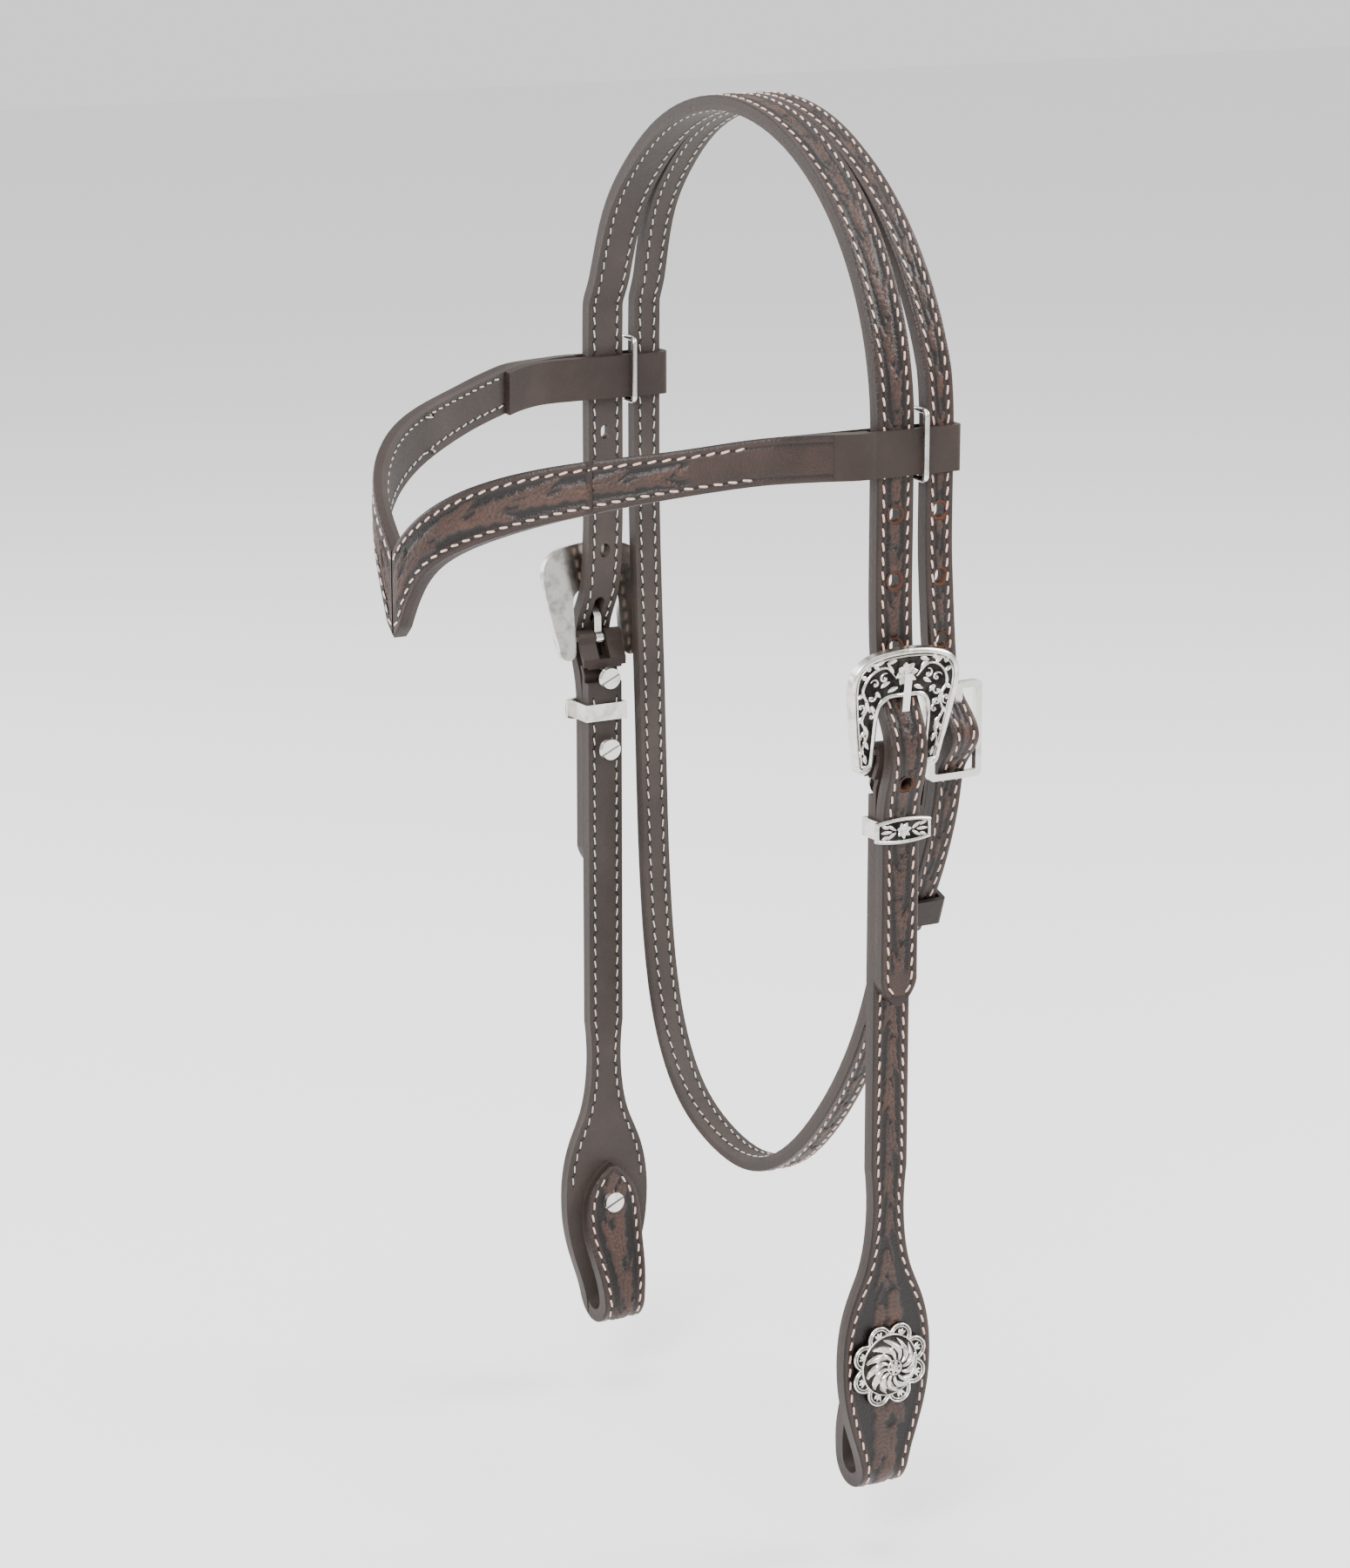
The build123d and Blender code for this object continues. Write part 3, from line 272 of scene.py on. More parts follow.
MATERIALS = {
    "tooled": tooled_leather(),
    "edge": leather(
        "edge_leather", (0.010, 0.006, 0.005), (0.018, 0.010, 0.0075), (0.040, 0.018, 0.011)
    ),
    "lining": leather(
        "lining_leather",
        (0.026, 0.019, 0.0165),
        (0.036, 0.027, 0.0235),
        (0.050, 0.038, 0.033),
        rough=(0.5, 0.7),
        grain=0.4,
    ),
    "smooth": leather(
        "smooth_leather", (0.016, 0.010, 0.0085), (0.024, 0.015, 0.012), (0.036, 0.022, 0.017)
    ),
    "raw": leather(
        "raw_edge", (0.026, 0.009, 0.004), (0.055, 0.018, 0.007), (0.11, 0.038, 0.014), (0.6, 0.8)
    ),
    "nickel": metal(
        "nickel", (0.66, 0.645, 0.62), (0.36, 0.345, 0.325), rough=(0.12, 0.24), tarnish=0.22
    ),
    "silver": metal(
        "antique_silver",
        (0.68, 0.66, 0.615),
        (0.30, 0.285, 0.26),
        rough=(0.16, 0.30),
        tarnish=0.28,
    ),
    "ground": metal(
        "blackened_ground",
        (0.050, 0.047, 0.042),
        (0.012, 0.011, 0.010),
        rough=(0.45, 0.65),
        tarnish=0.45,
        scratch=0.3,
    ),
    "thread": thread("outer_thread", (0.70, 0.50, 0.42), (0.44, 0.27, 0.21)),
    "thread_lining": thread("lining_thread", (0.62, 0.57, 0.50), (0.36, 0.32, 0.27)),
    # Near-black leather for the awl holes: painted shade in the holes.
    "hole": leather(
        "stitch_hole_painted_shade", (0.003, 0.002, 0.0015), (0.005, 0.003, 0.002), (0.008, 0.004, 0.003)
    ),
}


# ---------------------------------------------------------------- building meshes
def make_piece(name, verts, faces, material, body):
    """A smooth-shaded mesh object that rides on a body."""
    mesh = bpy.data.meshes.new(name)
    mesh.from_pydata([tuple(v) for v in verts], [], faces)
    mesh.update()
    piece = bpy.data.objects.new(name, mesh)
    bpy.context.collection.objects.link(piece)
    mesh.materials.append(MATERIALS[material])
    mesh.polygons.foreach_set("use_smooth", [True] * len(mesh.polygons))
    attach(piece, body)
    return piece


def grid_faces(rows, columns):
    """Quads of a grid of rows by columns."""
    faces = []
    for i in range(rows - 1):
        for j in range(columns - 1):
            a = i * columns + j
            faces.append((a, a + 1, a + columns + 1, a + columns))
    return faces


def tube_faces(rings, around):
    """Quads of a closed tube of rings."""
    faces = []
    for i in range(rings - 1):
        for j in range(around):
            k = (j + 1) % around
            low, high = i * around, (i + 1) * around
            faces.append((low + j, low + k, high + k, high + j))
    return faces


def ray_tree(name):
    """A ray-casting tree over one CAD node."""
    node = NODES[name]
    verts = [node.matrix_world @ v.co for v in node.data.vertices]
    faces = [tuple(p.vertices) for p in node.data.polygons]
    return BVHTree.FromPolygons(verts, faces)


class Collector:
    """Gathers many small raised shapes into one piece."""

    def __init__(self):
        self.verts, self.faces = [], []

    def add(self, shape):
        """Take in a shape's vertices and faces."""
        start = len(self.verts)
        verts, faces = shape
        self.verts += verts
        self.faces += [tuple(start + i for i in f) for f in faces]

    def dome(self, plate, u, v, radius, height, base=0.0):
        """A round bead."""
        verts = []
        rings, around = 5, 14
        for i in range(rings):
            a = math.pi / 2 * i / (rings - 1)
            for j in range(around):
                b = 2 * math.pi * j / around
                verts.append(
                    plate.at(
                        u + radius * math.cos(a) * math.cos(b),
                        v + radius * math.cos(a) * math.sin(b),
                        base + height * math.sin(a),
                    )
                )
        self.add((verts, tube_faces(rings, around)))

    def finish(self, name, body, material="silver"):
        """Make the piece, in the silver's slot."""
        return make_piece(name, self.verts, self.faces, material, body)


class Strip:
    """A strap's skin rolled out flat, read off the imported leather.

    points and outward normals follow the skin line; across is the direction
    of the strap's width; low and high are its two edges along that direction.
    """

    def __init__(self, points, normals, across, low, high):
        self.points = np.array(points, float)
        self.normals = np.array(normals, float)
        self.across = np.array(across, float)
        self.low = np.array(low, float)
        self.high = np.array(high, float)
        steps = np.linalg.norm(np.diff(self.points, axis=0), axis=1)
        self.s = np.concatenate(([0.0], np.cumsum(steps)))
        self.length = self.s[-1]

    def at(self, s, w, h):
        """World points for arrays of s, w and height h above the skin."""
        place = np.stack([np.interp(s, self.s, self.points[:, k]) for k in range(3)], -1)
        normal = np.stack([np.interp(s, self.s, self.normals[:, k]) for k in range(3)], -1)
        normal /= np.maximum(np.linalg.norm(normal, axis=-1, keepdims=True), 1e-9)
        sideways = self.across * np.asarray(w)[..., None]
        return place + sideways + normal * np.asarray(h)[..., None]

    def edges(self, s):
        """The two edges at s."""
        return np.interp(s, self.s, self.low), np.interp(s, self.s, self.high)

    def mirrored(self):
        """The same strip on the far side."""
        flip = np.array((-1.0, 1.0, 1.0))
        return Strip(self.points * flip, self.normals * flip, self.across, self.low, self.high)


def cast_line(tree, rays):
    """Skin points where rays first meet the leather, each clear of the last."""
    hits = []
    for origin, way in rays:
        hit = tree.ray_cast(Vector(origin), Vector(way).normalized())[0]
        if hit is not None and (not hits or (hit - hits[-1]).length > 0.0004):
            hits.append(hit)
    return hits


def outward(points, across, sign):
    """Smoothed normals square to a skin line and to the strap's width."""
    points = np.array(points, float)
    along = np.gradient(points, axis=0)
    for _ in range(2):
        along[1:-1] = (along[:-2] + 2 * along[1:-1] + along[2:]) / 4
    normals = sign * np.cross(along, np.array(across, float))
    return normals / np.linalg.norm(normals, axis=1, keepdims=True)


def find_edges(tree, points, normals, across, reach, width=None):
    """Edges of a strap along its width, met by rays cast inwards within its leather."""
    low, high = [], []
    across = Vector(across)
    for point, normal in zip(points, normals):
        inside = Vector(point) - Vector(normal) * INSIDE_SKIN
        middle = inside.dot(across)
        base = inside - across * middle
        hit_high = tree.ray_cast(base + across * reach[1], -across)[0]
        top = hit_high.dot(across) if hit_high is not None else None
        hit_low = tree.ray_cast(base + across * reach[0], across)[0]
        bottom = hit_low.dot(across) if hit_low is not None else None
        if width is not None and top is not None:
            bottom = top - width
        low.append(bottom)
        high.append(top)
    for values in (low, high):
        known = [i for i, v in enumerate(values) if v is not None]
        filled = np.interp(range(len(values)), known, [values[i] for i in known])
        values[:] = list(filled)
    return low, high


def strap_strip(tree, rays, across, sign, reach, width=None):
    """A strip from rays, whose points lose their part along the strap's width."""
    points = cast_line(tree, rays)
    normals = outward(points, across, sign)
    low, high = find_edges(tree, points, normals, across, reach, width)
    along = Vector(across)
    flat = [p - along * p.dot(along) for p in points]
    return Strip(flat, normals, across, low, high)


# ---------------------------------------------------------------- the straps
def down(z_high, z_low):
    """Heights from high to low."""
    count = max(2, int((z_high - z_low) / RAY_STEP))
    return [z_high + (z_low - z_high) * i / count for i in range(count + 1)]


def side_rays(sign, y, heights):
    """Rays in from one side of the headstall at some heights."""
    return [((sign * RAY_START, y, z), (-sign, 0, 0)) for z in heights]


def round_rays(middle, degrees, reach):
    """Rays in towards a middle from each of some angles, in the XZ plane."""
    rays = []
    for angle in degrees:
        a = math.radians(angle)
        way = Vector((math.cos(a), 0, math.sin(a)))
        rays.append((middle + way * reach, -way))
    return rays


def arch_rays(y):
    """Rays in towards the middle of the crown's arch."""
    return round_rays(ARCH_CENTRE + Vector((0, y, 0)), range(181), 0.3)


def front_strip(tree):
    """Front crown strap from the near billet's tip to the far one's."""
    y = FRONT_Y - HOLE_MISS
    heights = down(CROWN_SIDE_Z, FRONT_TIP_Z)
    rays = side_rays(1, y, reversed(heights)) + arch_rays(y) + side_rays(-1, y, heights)
    strip = strap_strip(tree, rays, ACROSS_Y, -1, (-0.05, 0.05))
    strip.low = np.maximum(strip.low, FRONT_Y - FRONT_HALF)
    strip.high = 2 * FRONT_Y - strip.low
    return strip


def lean(z):
    """How far the near rear strap leans back at a height."""
    knots = (-0.3655, -0.2955, -0.2315, -0.1505)
    return float(np.interp(z, knots, (0.0, 3.8 * MM, 9.5 * MM, 0.0)))


def rear_strip(tree):
    """Rear crown strap: near billet, arch, and down to the throat strap."""
    near_y, y = 9.0 * MM, 9.5 * MM
    throat_top_z = -0.30
    rays = []
    for z in reversed(down(CROWN_SIDE_Z, REAR_TIP_Z)):
        rays += side_rays(1, near_y + lean(z), [z])
    rays += arch_rays(y) + side_rays(-1, y, down(CROWN_SIDE_Z, throat_top_z))
    strip = strap_strip(tree, rays, ACROSS_Y, -1, (-0.05, 0.08), REAR_WIDTH)
    tip = strip.s < 15 * MM
    past_tip = 18 * MM
    middle = float(np.interp(past_tip, strip.s, strip.high)) - REAR_WIDTH / 2
    strip.low = np.where(tip, np.minimum(2 * middle - strip.high, middle), strip.low)
    return strip


def throat_strip(tree):
    """The throat strap, round under the jaw to its buckle."""
    rays = round_rays(Vector((-0.01, 0.0135, -0.300)), range(180, 330), 0.4)
    return strap_strip(tree, rays, ACROSS_Y, -1, (-0.05, 0.08), REAR_WIDTH)


def cheek_strip(tree):
    """Near cheek strap, down the outside, round the bit fold and up the tab."""
    y = FRONT_Y + HOLE_MISS
    strap_top_z, tab_tip_z = -0.252, -0.4575
    tab_y = FRONT_Y + 0.6 * MM
    rays = side_rays(1, y, down(strap_top_z, FOLD_Z + MM))
    rays += round_rays(Vector((FOLD_X, y, FOLD_Z)), range(-3, -180, -3), 0.05)
    tab = reversed(down(tab_tip_z, FOLD_Z))
    rays += [((0.05, tab_y, z), (1, 0, 0)) for z in tab]
    return strap_strip(tree, rays, ACROSS_Y, 1, (-0.06, 0.05))


def band_strip(tree):
    """Near half of the browband, from its middle to the loop."""
    heights = (-0.117, -0.120, -0.128, -0.140, -0.155, -0.170)
    points = []
    for k in range(141):
        x = 0.0005 + k * 0.8 * MM
        for z in heights:
            hit = tree.ray_cast(Vector((x, -0.3, z)), Vector((0, 1, 0)))[0]
            if hit is not None:
                points.append(hit)
                break
    flat = [Vector((p.x, p.y, 0)) for p in points]
    normals = outward(flat, ACROSS_Z, 1)
    low, high = find_edges(tree, points, normals, ACROSS_Z, (-0.25, 0.0))
    return Strip(flat, normals, ACROSS_Z, low, high)


# ---------------------------------------------------------------- carving
def leaf(u, v, length, width, bend):
    """Height, up to about 1, of one carved leaf at local u along and v across."""
    vein_width, rib_pitch = 0.22 * MM, 0.95 * MM
    along = np.clip(u / length, 0, 1)
    spine = bend * along**2 * length
    side = v - spine
    lobes = 1 + 0.16 * np.sin(along * 21.0 + np.sign(side) * 0.8)
    half = width * (np.sin(np.pi * np.clip(along, 0, 1) ** 0.72) ** 0.8) * lobes + 1e-7
    inside = (u > 0) & (u < length) & (np.abs(side) < half)
    share = np.abs(side) / half
    dome = np.clip(1 - share**3.0, 0, 1) ** 0.6
    vein = 0.42 * np.exp(-((side / vein_width) ** 2)) * (along < 0.85)
    ribs = 0.20 * np.cos((u / rib_pitch - share * 2.4) * np.pi)
    value = 0.72 * dome + ribs * dome * (share > 0.12) - vein * dome + 0.12
    return np.where(inside, np.maximum(value, 0), 0)


def carve(s, w, half, length, seed, field):
    """Relief of a whole strap: vine scrolls with leaves on a sunk ground."""
    rng = random.Random(seed)
    pitch = SCROLL_PITCH
    count = int(length / pitch) + 2
    room = np.maximum(half - 4.5 * MM, 0.4 * MM)
    stem = 0.42 * room * np.sin(s * np.pi / pitch)
    stem_share = np.abs(w - stem) / (0.55 * MM)
    relief = 0.62 * np.sqrt(np.clip(1 - stem_share**2, 0, 1))
    for k in range(-1, count):
        base = (k + 0.25) * pitch
        side = 1 if k % 2 == 0 else -1
        near = (s > base - 6 * MM) & (s < base + 22 * MM)
        if not near.any():
            continue
        size = float(np.interp(base, s[:, 0], room[:, 0])) / (3.5 * MM)
        size = min(max(size * 1.3, 0.85), 2.8)
        for turn, reach, wide, start, bend in (
            (0.30, 11.5, 1.75, 0.0, -0.55),
            (-0.42, 8.5, 1.45, 4.0, 0.60),
            (0.85, 5.6, 1.10, 9.0, -0.35),
        ):
            turn = side * (turn + rng.uniform(-0.06, 0.06))
            ds = s - base - start * MM * min(size, 1.3)
            root = side if turn * side >= 0 else -side
            dw = w + root * 0.35 * room
            u = ds * math.cos(turn) + dw * math.sin(turn)
            v = -ds * math.sin(turn) + dw * math.cos(turn)
            scale = size**0.75 * MM
            height = leaf(u, v, reach * scale, wide * scale, side * bend)
            relief = np.where(near & (height > 0.05), np.maximum(relief, height), relief)
    return np.clip(relief, 0, 1) * field


def tooled_skin(name, strip, body, seed, tooled_from, tooled_to, columns, holes=()):
    """The carved, grooved and rounded outer skin of one strap."""
    tooled_to = strip.length if tooled_to is None else tooled_to
    rows = max(8, int(strip.length / SKIN_STEP))
    s_line = np.linspace(0, strip.length, rows)
    across = np.linspace(-1, 1, columns)
    across = np.sign(across) * np.abs(across) ** 0.9
    low, high = strip.edges(s_line)
    mid, half = (low + high) / 2, (high - low) / 2
    s = np.repeat(s_line[:, None], columns, 1)
    half_grid = np.repeat(half[:, None], columns, 1)
    w = across[None, :] * half_grid
    from_edge = half_grid - np.abs(w)
    row_gap = np.abs(from_edge - SEAM_INSET)
    field = np.clip((from_edge - BORDER) / (0.35 * MM), 0, 1)
    fade = 4 * MM
    ends = np.clip((s - tooled_from) / fade, 0, 1) * np.clip((tooled_to - s) / fade, 0, 1)
    pattern = carve(s, w, half_grid, strip.length, seed, field)
    level = np.full_like(s, PLAIN_LEVEL)
    level -= GROOVE_DEPTH * np.exp(-((row_gap / (0.55 * MM)) ** 2))
    border_gap = from_edge - BORDER - 0.05 * MM
    level -= 0.32 * np.exp(-((border_gap / (0.28 * MM)) ** 2)) * ends
    ground = GROUND_LEVEL + (1 - GROUND_LEVEL) * pattern
    level = level * (1 - field * ends) + ground * field * ends
    edge_share = np.clip(from_edge / EDGE_ROUND, 0, 1)
    level *= np.sqrt(np.clip(1 - (1 - edge_share) ** 2, 0, 1))
    place = w + mid[:, None]
    keep = np.ones_like(s, bool)
    for s0, w0, radius in holes:
        keep &= np.hypot(s - s0, place - w0) > radius
    verts = strip.at(s, place, level * RELIEF + SKIN_LIFT).reshape(-1, 3)
    kept = keep.ravel()
    faces = [face for face in grid_faces(rows, columns) if all(kept[k] for k in face)]
    piece = make_piece(name, verts, faces, "tooled", body)
    # The carved height, which the tooled material turns into painted shade low down and a painted highlight
    # on top.
    data = piece.data.attributes.new("relief", "FLOAT", "POINT")
    data.data.foreach_set("value", level.astype(np.float32).ravel())


# ---------------------------------------------------------------- stitches
def seam_line(strip, side):
    """Samples of a seam's (s, w): the strap's edge moved in by the seam's inset."""
    s = np.linspace(0, strip.length, int(strip.length / MM) + 2)
    low, high = strip.edges(s)
    edge = high if side > 0 else low
    slope = np.gradient(edge, s)
    turn = np.sqrt(1 + slope**2)
    w = edge - side * SEAM_INSET * np.minimum(turn, 2.5)
    middle = (low + high) / 2
    good = (high - low) > 2.2 * SEAM_INSET
    w = np.where(side > 0, np.maximum(w, middle), np.minimum(w, middle))
    return s[good], w[good]


def stitch(s, w, way, h, flip, fat):
    """One stitch as a rounded bead along its way: its points as (s, w, h)."""
    rings, around = 7, 6
    verts = []
    for t in np.linspace(-0.5, 0.5, rings):
        bulge = 1 - (2 * t) ** 4
        lift = h + flip * (0.34 * MM * bulge - 0.16 * MM)
        radius = fat * math.sqrt(min(max(bulge + 0.02, 0.03), 1))
        for j in range(around):
            a = 2 * math.pi * j / around
            off = radius * math.cos(a)
            verts.append(
                (
                    s + t * STITCH_LENGTH * math.cos(way) - off * math.sin(way),
                    w + t * STITCH_LENGTH * math.sin(way) + off * math.cos(way),
                    lift + radius * 0.8 * math.sin(a),
                )
            )
    last = (rings - 1) * around
    caps = [tuple(reversed(range(around))), tuple(last + j for j in range(around))]
    return verts, tube_faces(rings, around) + caps


def awl_hole(s, w, h, flip):
    """The dent at a stitch's end, as a shallow fan of (s, w, h) points, near-black as painted shade in the
    awl hole.
    """
    around = 8
    verts = [(s, w, h + flip * 0.10 * MM)]
    for j in range(around):
        a = 2 * math.pi * j / around
        verts.append(
            (s + 0.85 * MM * math.cos(a), w + 0.62 * MM * math.sin(a), h + flip * 0.015 * MM)
        )
    return verts, [(0, 1 + j, 1 + (j + 1) % around) for j in range(around)]


def stitch_row(name, strip, side, body, material, h, start, end, flip, fat):
    """A row of slanted saddle stitches with their awl holes."""
    end = strip.length if end is None else end
    s, w = seam_line(strip, side)
    keep = (s >= start) & (s <= end)
    s, w = s[keep], w[keep]
    run = np.concatenate(([0], np.cumsum(np.hypot(np.diff(s), np.diff(w)))))
    threads, painted_shade_dents = Collector(), Collector()
    for k in range(int(run[-1] / STITCH_PITCH)):
        middle = (k + 0.5) * STITCH_PITCH
        cs, cw = np.interp(middle, run, s), np.interp(middle, run, w)
        ns, nw = np.interp(middle + MM, run, s), np.interp(middle + MM, run, w)
        way = math.atan2(nw - cw, ns - cs) + side * STITCH_SLANT * flip
        threads.add(stitch(cs, cw, way, h, flip, fat))
        for end_share in (-0.5, 0.5):
            reach = end_share * STITCH_LENGTH * 1.02
            painted_shade_dents.add(
                awl_hole(cs + reach * math.cos(way), cw + reach * math.sin(way), h, flip)
            )
    # The awl-hole dents get the near-black painted shade.
    for label, work, finish in (("", threads, material), ("_holes", painted_shade_dents, "hole")):
        placed = strip.at(*np.array(work.verts).T)
        make_piece(name + label, placed, work.faces, finish, body)


def both_seams(name, strip, body, end=None, lining_end=None):
    """Seams along both edges of a strap, on its skin and on its lining."""
    groove = (PLAIN_LEVEL - GROOVE_DEPTH) * RELIEF + 0.12 * MM
    lining = -STRAP - 0.02 * MM
    for side, label in ((1, "a"), (-1, "b")):
        stitch_row(
            f"{name}_seam_{label}", strip, side, body, "thread", groove, 0.0, end, 1, THREAD_RADIUS
        )
        stitch_row(
            f"{name}_lining_seam_{label}", strip, side, body, "thread_lining", lining,
            0.0, lining_end, -1, LINING_THREAD_RADIUS,
        )


# ---------------------------------------------------------------- silver ornament
class Plate:
    """A flat ornament face: u and v in the plate, n out of it."""

    def __init__(self, centre, u, v):
        self.centre = Vector(centre)
        self.u = Vector(u).normalized()
        self.v = Vector(v).normalized()
        self.n = self.u.cross(self.v).normalized()

    def at(self, u, v, h):
        """World point from millimetres on the plate."""
        return self.centre + (self.u * u + self.v * v + self.n * h) * MM


def relief_stroke(plate, points, width, height, base=0.0, taper=True):
    """A raised scroll along plate points: rounded, thinning to its ends."""
    verts = []
    count = len(points)
    columns = 5
    for i, (u, v) in enumerate(points):
        before = points[max(i - 1, 0)]
        after = points[min(i + 1, count - 1)]
        along = Vector((after[0] - before[0], after[1] - before[1])).normalized()
        share = i / (count - 1)
        wide = width * (math.sin(math.pi * (0.12 + 0.80 * share)) ** 0.8 if taper else 1)
        for j in range(columns):
            t = j / (columns - 1) * 2 - 1
            verts.append(
                plate.at(
                    u - along.y * wide * t, v + along.x * wide * t, base + height * (1 - t * t)
                )
            )
    return verts, grid_faces(count, columns)


def petal(plate, u0, v0, angle, length, width, height, base):
    """A raised petal or leaf with a sunk middle vein."""
    verts = []
    rows, columns = 9, 7
    for i in range(rows):
        share = i / (rows - 1)
        half = width * math.sin(math.pi * min(share * 0.92 + 0.06, 1)) ** 0.75
        for j in range(columns):
            t = j / (columns - 1) * 2 - 1
            u = share * length
            v = t * half
            h = height * (1 - t**4) - height * 0.45 * math.exp(-((t / 0.22) ** 2))
            verts.append(
                plate.at(
                    u0 + u * math.cos(angle) - v * math.sin(angle),
                    v0 + u * math.sin(angle) + v * math.cos(angle),
                    base + h,
                )
            )
    return verts, grid_faces(rows, columns)


def spiral(u0, v0, start, turns, outer, inner, steps=26):
    """Points of a scroll that winds inwards."""
    points = []
    for k in range(steps):
        share = k / (steps - 1)
        radius = outer + (inner - outer) * share
        a = start + turns * 2 * math.pi * share
        points.append((u0 + radius * math.cos(a), v0 + radius * math.sin(a)))
    return points


def turned(points, flip):
    """A stroke's points, on the plate's other side where flip is -1."""
    return [(flip * u, v) for u, v in points]


def round_line(u0, v0, radius, start, end, steps):
    """Points of an arc round (u0, v0) between two angles."""
    points = []
    for i in range(steps + 1):
        b = start + (end - start) * i / steps
        points.append((u0 + radius * math.cos(b), v0 + radius * math.sin(b)))
    return points


class DomedPlate(Plate):
    """A concho's face: flat lobes, then a sloped wall up to a flat top."""

    rise, foot_radius = 3.6, 12.0

    def at(self, u, v, h):
        """World point on the domed face."""
        lift = min(max(self.foot_radius - math.hypot(u, v), 0.0), self.rise)
        return super().at(u, v, h + lift)


def smooth_line(points, steps=10):
    """A smooth curve through plate points."""
    line = []
    ends = [points[0]] + list(points) + [points[-1]]
    for k in range(1, len(ends) - 2):
        a, b, c, d = (np.array(ends[k + i], float) for i in (-1, 0, 1, 2))
        for i in range(steps):
            t = i / steps
            square = (2 * a - 5 * b + 4 * c - d) * t**2
            cube = (3 * b - a - 3 * c + d) * t**3
            line.append(tuple(0.5 * (2 * b + (c - a) * t + square + cube)))
    line.append(tuple(points[-1]))
    return line


def even(line, count):
    """The same line with evenly spaced points."""
    line = np.array(line)
    run = np.concatenate(([0], np.cumsum(np.linalg.norm(np.diff(line, axis=0), axis=1))))
    where = np.linspace(0, run[-1], count)
    u, v = np.interp(where, run, line[:, 0]), np.interp(where, run, line[:, 1])
    return list(zip(u.tolist(), v.tolist()))


def inset(line, depth):
    """A line moved to its right-hand side."""
    line = np.array(line)
    along = np.gradient(line, axis=0)
    along /= np.maximum(np.linalg.norm(along, axis=1, keepdims=True), 1e-9)
    moved = line + np.stack([along[:, 1], -along[:, 0]], 1) * depth
    return [tuple(p) for p in moved]


def ground_sheet(plate, one, other, base):
    """A thin dark ground between two plate lines of equal count."""
    verts = []
    for a, b in zip(one, other):
        for t in (0.0, 0.33, 0.67, 1.0):
            verts.append(plate.at(a[0] + (b[0] - a[0]) * t, a[1] + (b[1] - a[1]) * t, base))
    return verts, grid_faces(len(one), 4)


def flower(work, plate, u, v, petals, length, width, height, base, bead):
    """A flower of raised petals round a bead."""
    for k in range(petals):
        a = 2 * math.pi * k / petals + 0.2
        root_u, root_v = u + 0.5 * math.cos(a), v + 0.5 * math.sin(a)
        work.add(petal(plate, root_u, root_v, a, length, width, height, base))
    work.dome(plate, u, v, bead, bead * 0.8, base + 0.35)


BUCKLE_OUTER = [
    (0, 40.2), (9.5, 39.5), (18.1, 37.0), (22.6, 32.4),
    (23.8, 25.7), (22.4, 14.7), (20.5, 4.2), (18.6, -5.0),
]
BUCKLE_INNER = [(0, 21.0), (7.0, 20.7), (9.8, 18.4), (10.8, 13.0), (10.9, 4.0), (11.0, -5.0)]
BUCKLE_FOOT = [(18.0, -4.2), (15.6, -6.6), (12.2, -5.0)]
BUCKLE_STEM = [
    (4.5, 29.0), (9.5, 33.6), (15.5, 31.5), (18.6, 25.5), (16.0, 19.5),
    (17.8, 13.5), (15.0, 8.0), (16.4, 2.5), (15.0, -1.5),
]
# Scrolls: u, v, starting angle and turns
BUCKLE_SCROLLS = [
    (9.6, 29.6, 1.9, -0.95), (13.8, 27.6, 0.4, 0.9), (16.6, 34.0, 2.6, -0.8),
    (14.6, 22.4, 2.2, 0.85), (19.0, 18.6, 4.6, -0.8), (14.2, 15.0, 1.0, 0.8),
    (17.6, 6.4, 4.2, -0.8),
]
# Leaves: u, v, angle and length
BUCKLE_LEAVES = [
    (6.0, 31.5, 0.9, 4.6), (7.4, 28.0, -0.5, 4.2), (12.4, 33.2, 0.75, 4.0),
    (17.0, 29.6, 0.55, 3.6), (17.8, 24.2, -0.5, 3.4), (13.0, 24.6, -2.3, 3.2),
    (17.0, 21.0, -2.0, 4.4), (14.6, 19.2, -2.2, 3.0), (17.4, 15.4, -0.9, 3.6),
    (16.8, 11.6, -2.1, 4.2), (15.0, 9.6, -0.7, 3.8), (15.6, 5.2, -2.0, 3.6),
    (16.0, 1.6, -0.9, 3.2), (15.2, -0.4, -1.8, 3.6), (5.2, 36.2, -0.25, 4.2),
    (10.6, 36.6, -0.5, 3.6), (3.6, 25.4, -0.35, 4.4),
]
KEEPER_LEAVES = [
    (3.6, 0.4, 0.55, 4.4), (3.6, -0.4, -0.55, 4.4), (5.6, 0.0, 0.0, 4.8),
    (6.8, 1.6, 0.3, 3.4), (6.8, -1.6, -0.3, 3.4),
]


def leaves(work, plate, flip, places, width, height, base):
    """Leaves at some places on one half of a plate."""
    for u, v, angle, length in places:
        angle = angle if flip == 1 else math.pi - angle
        work.add(petal(plate, flip * u, v, angle, length, width, height, base))


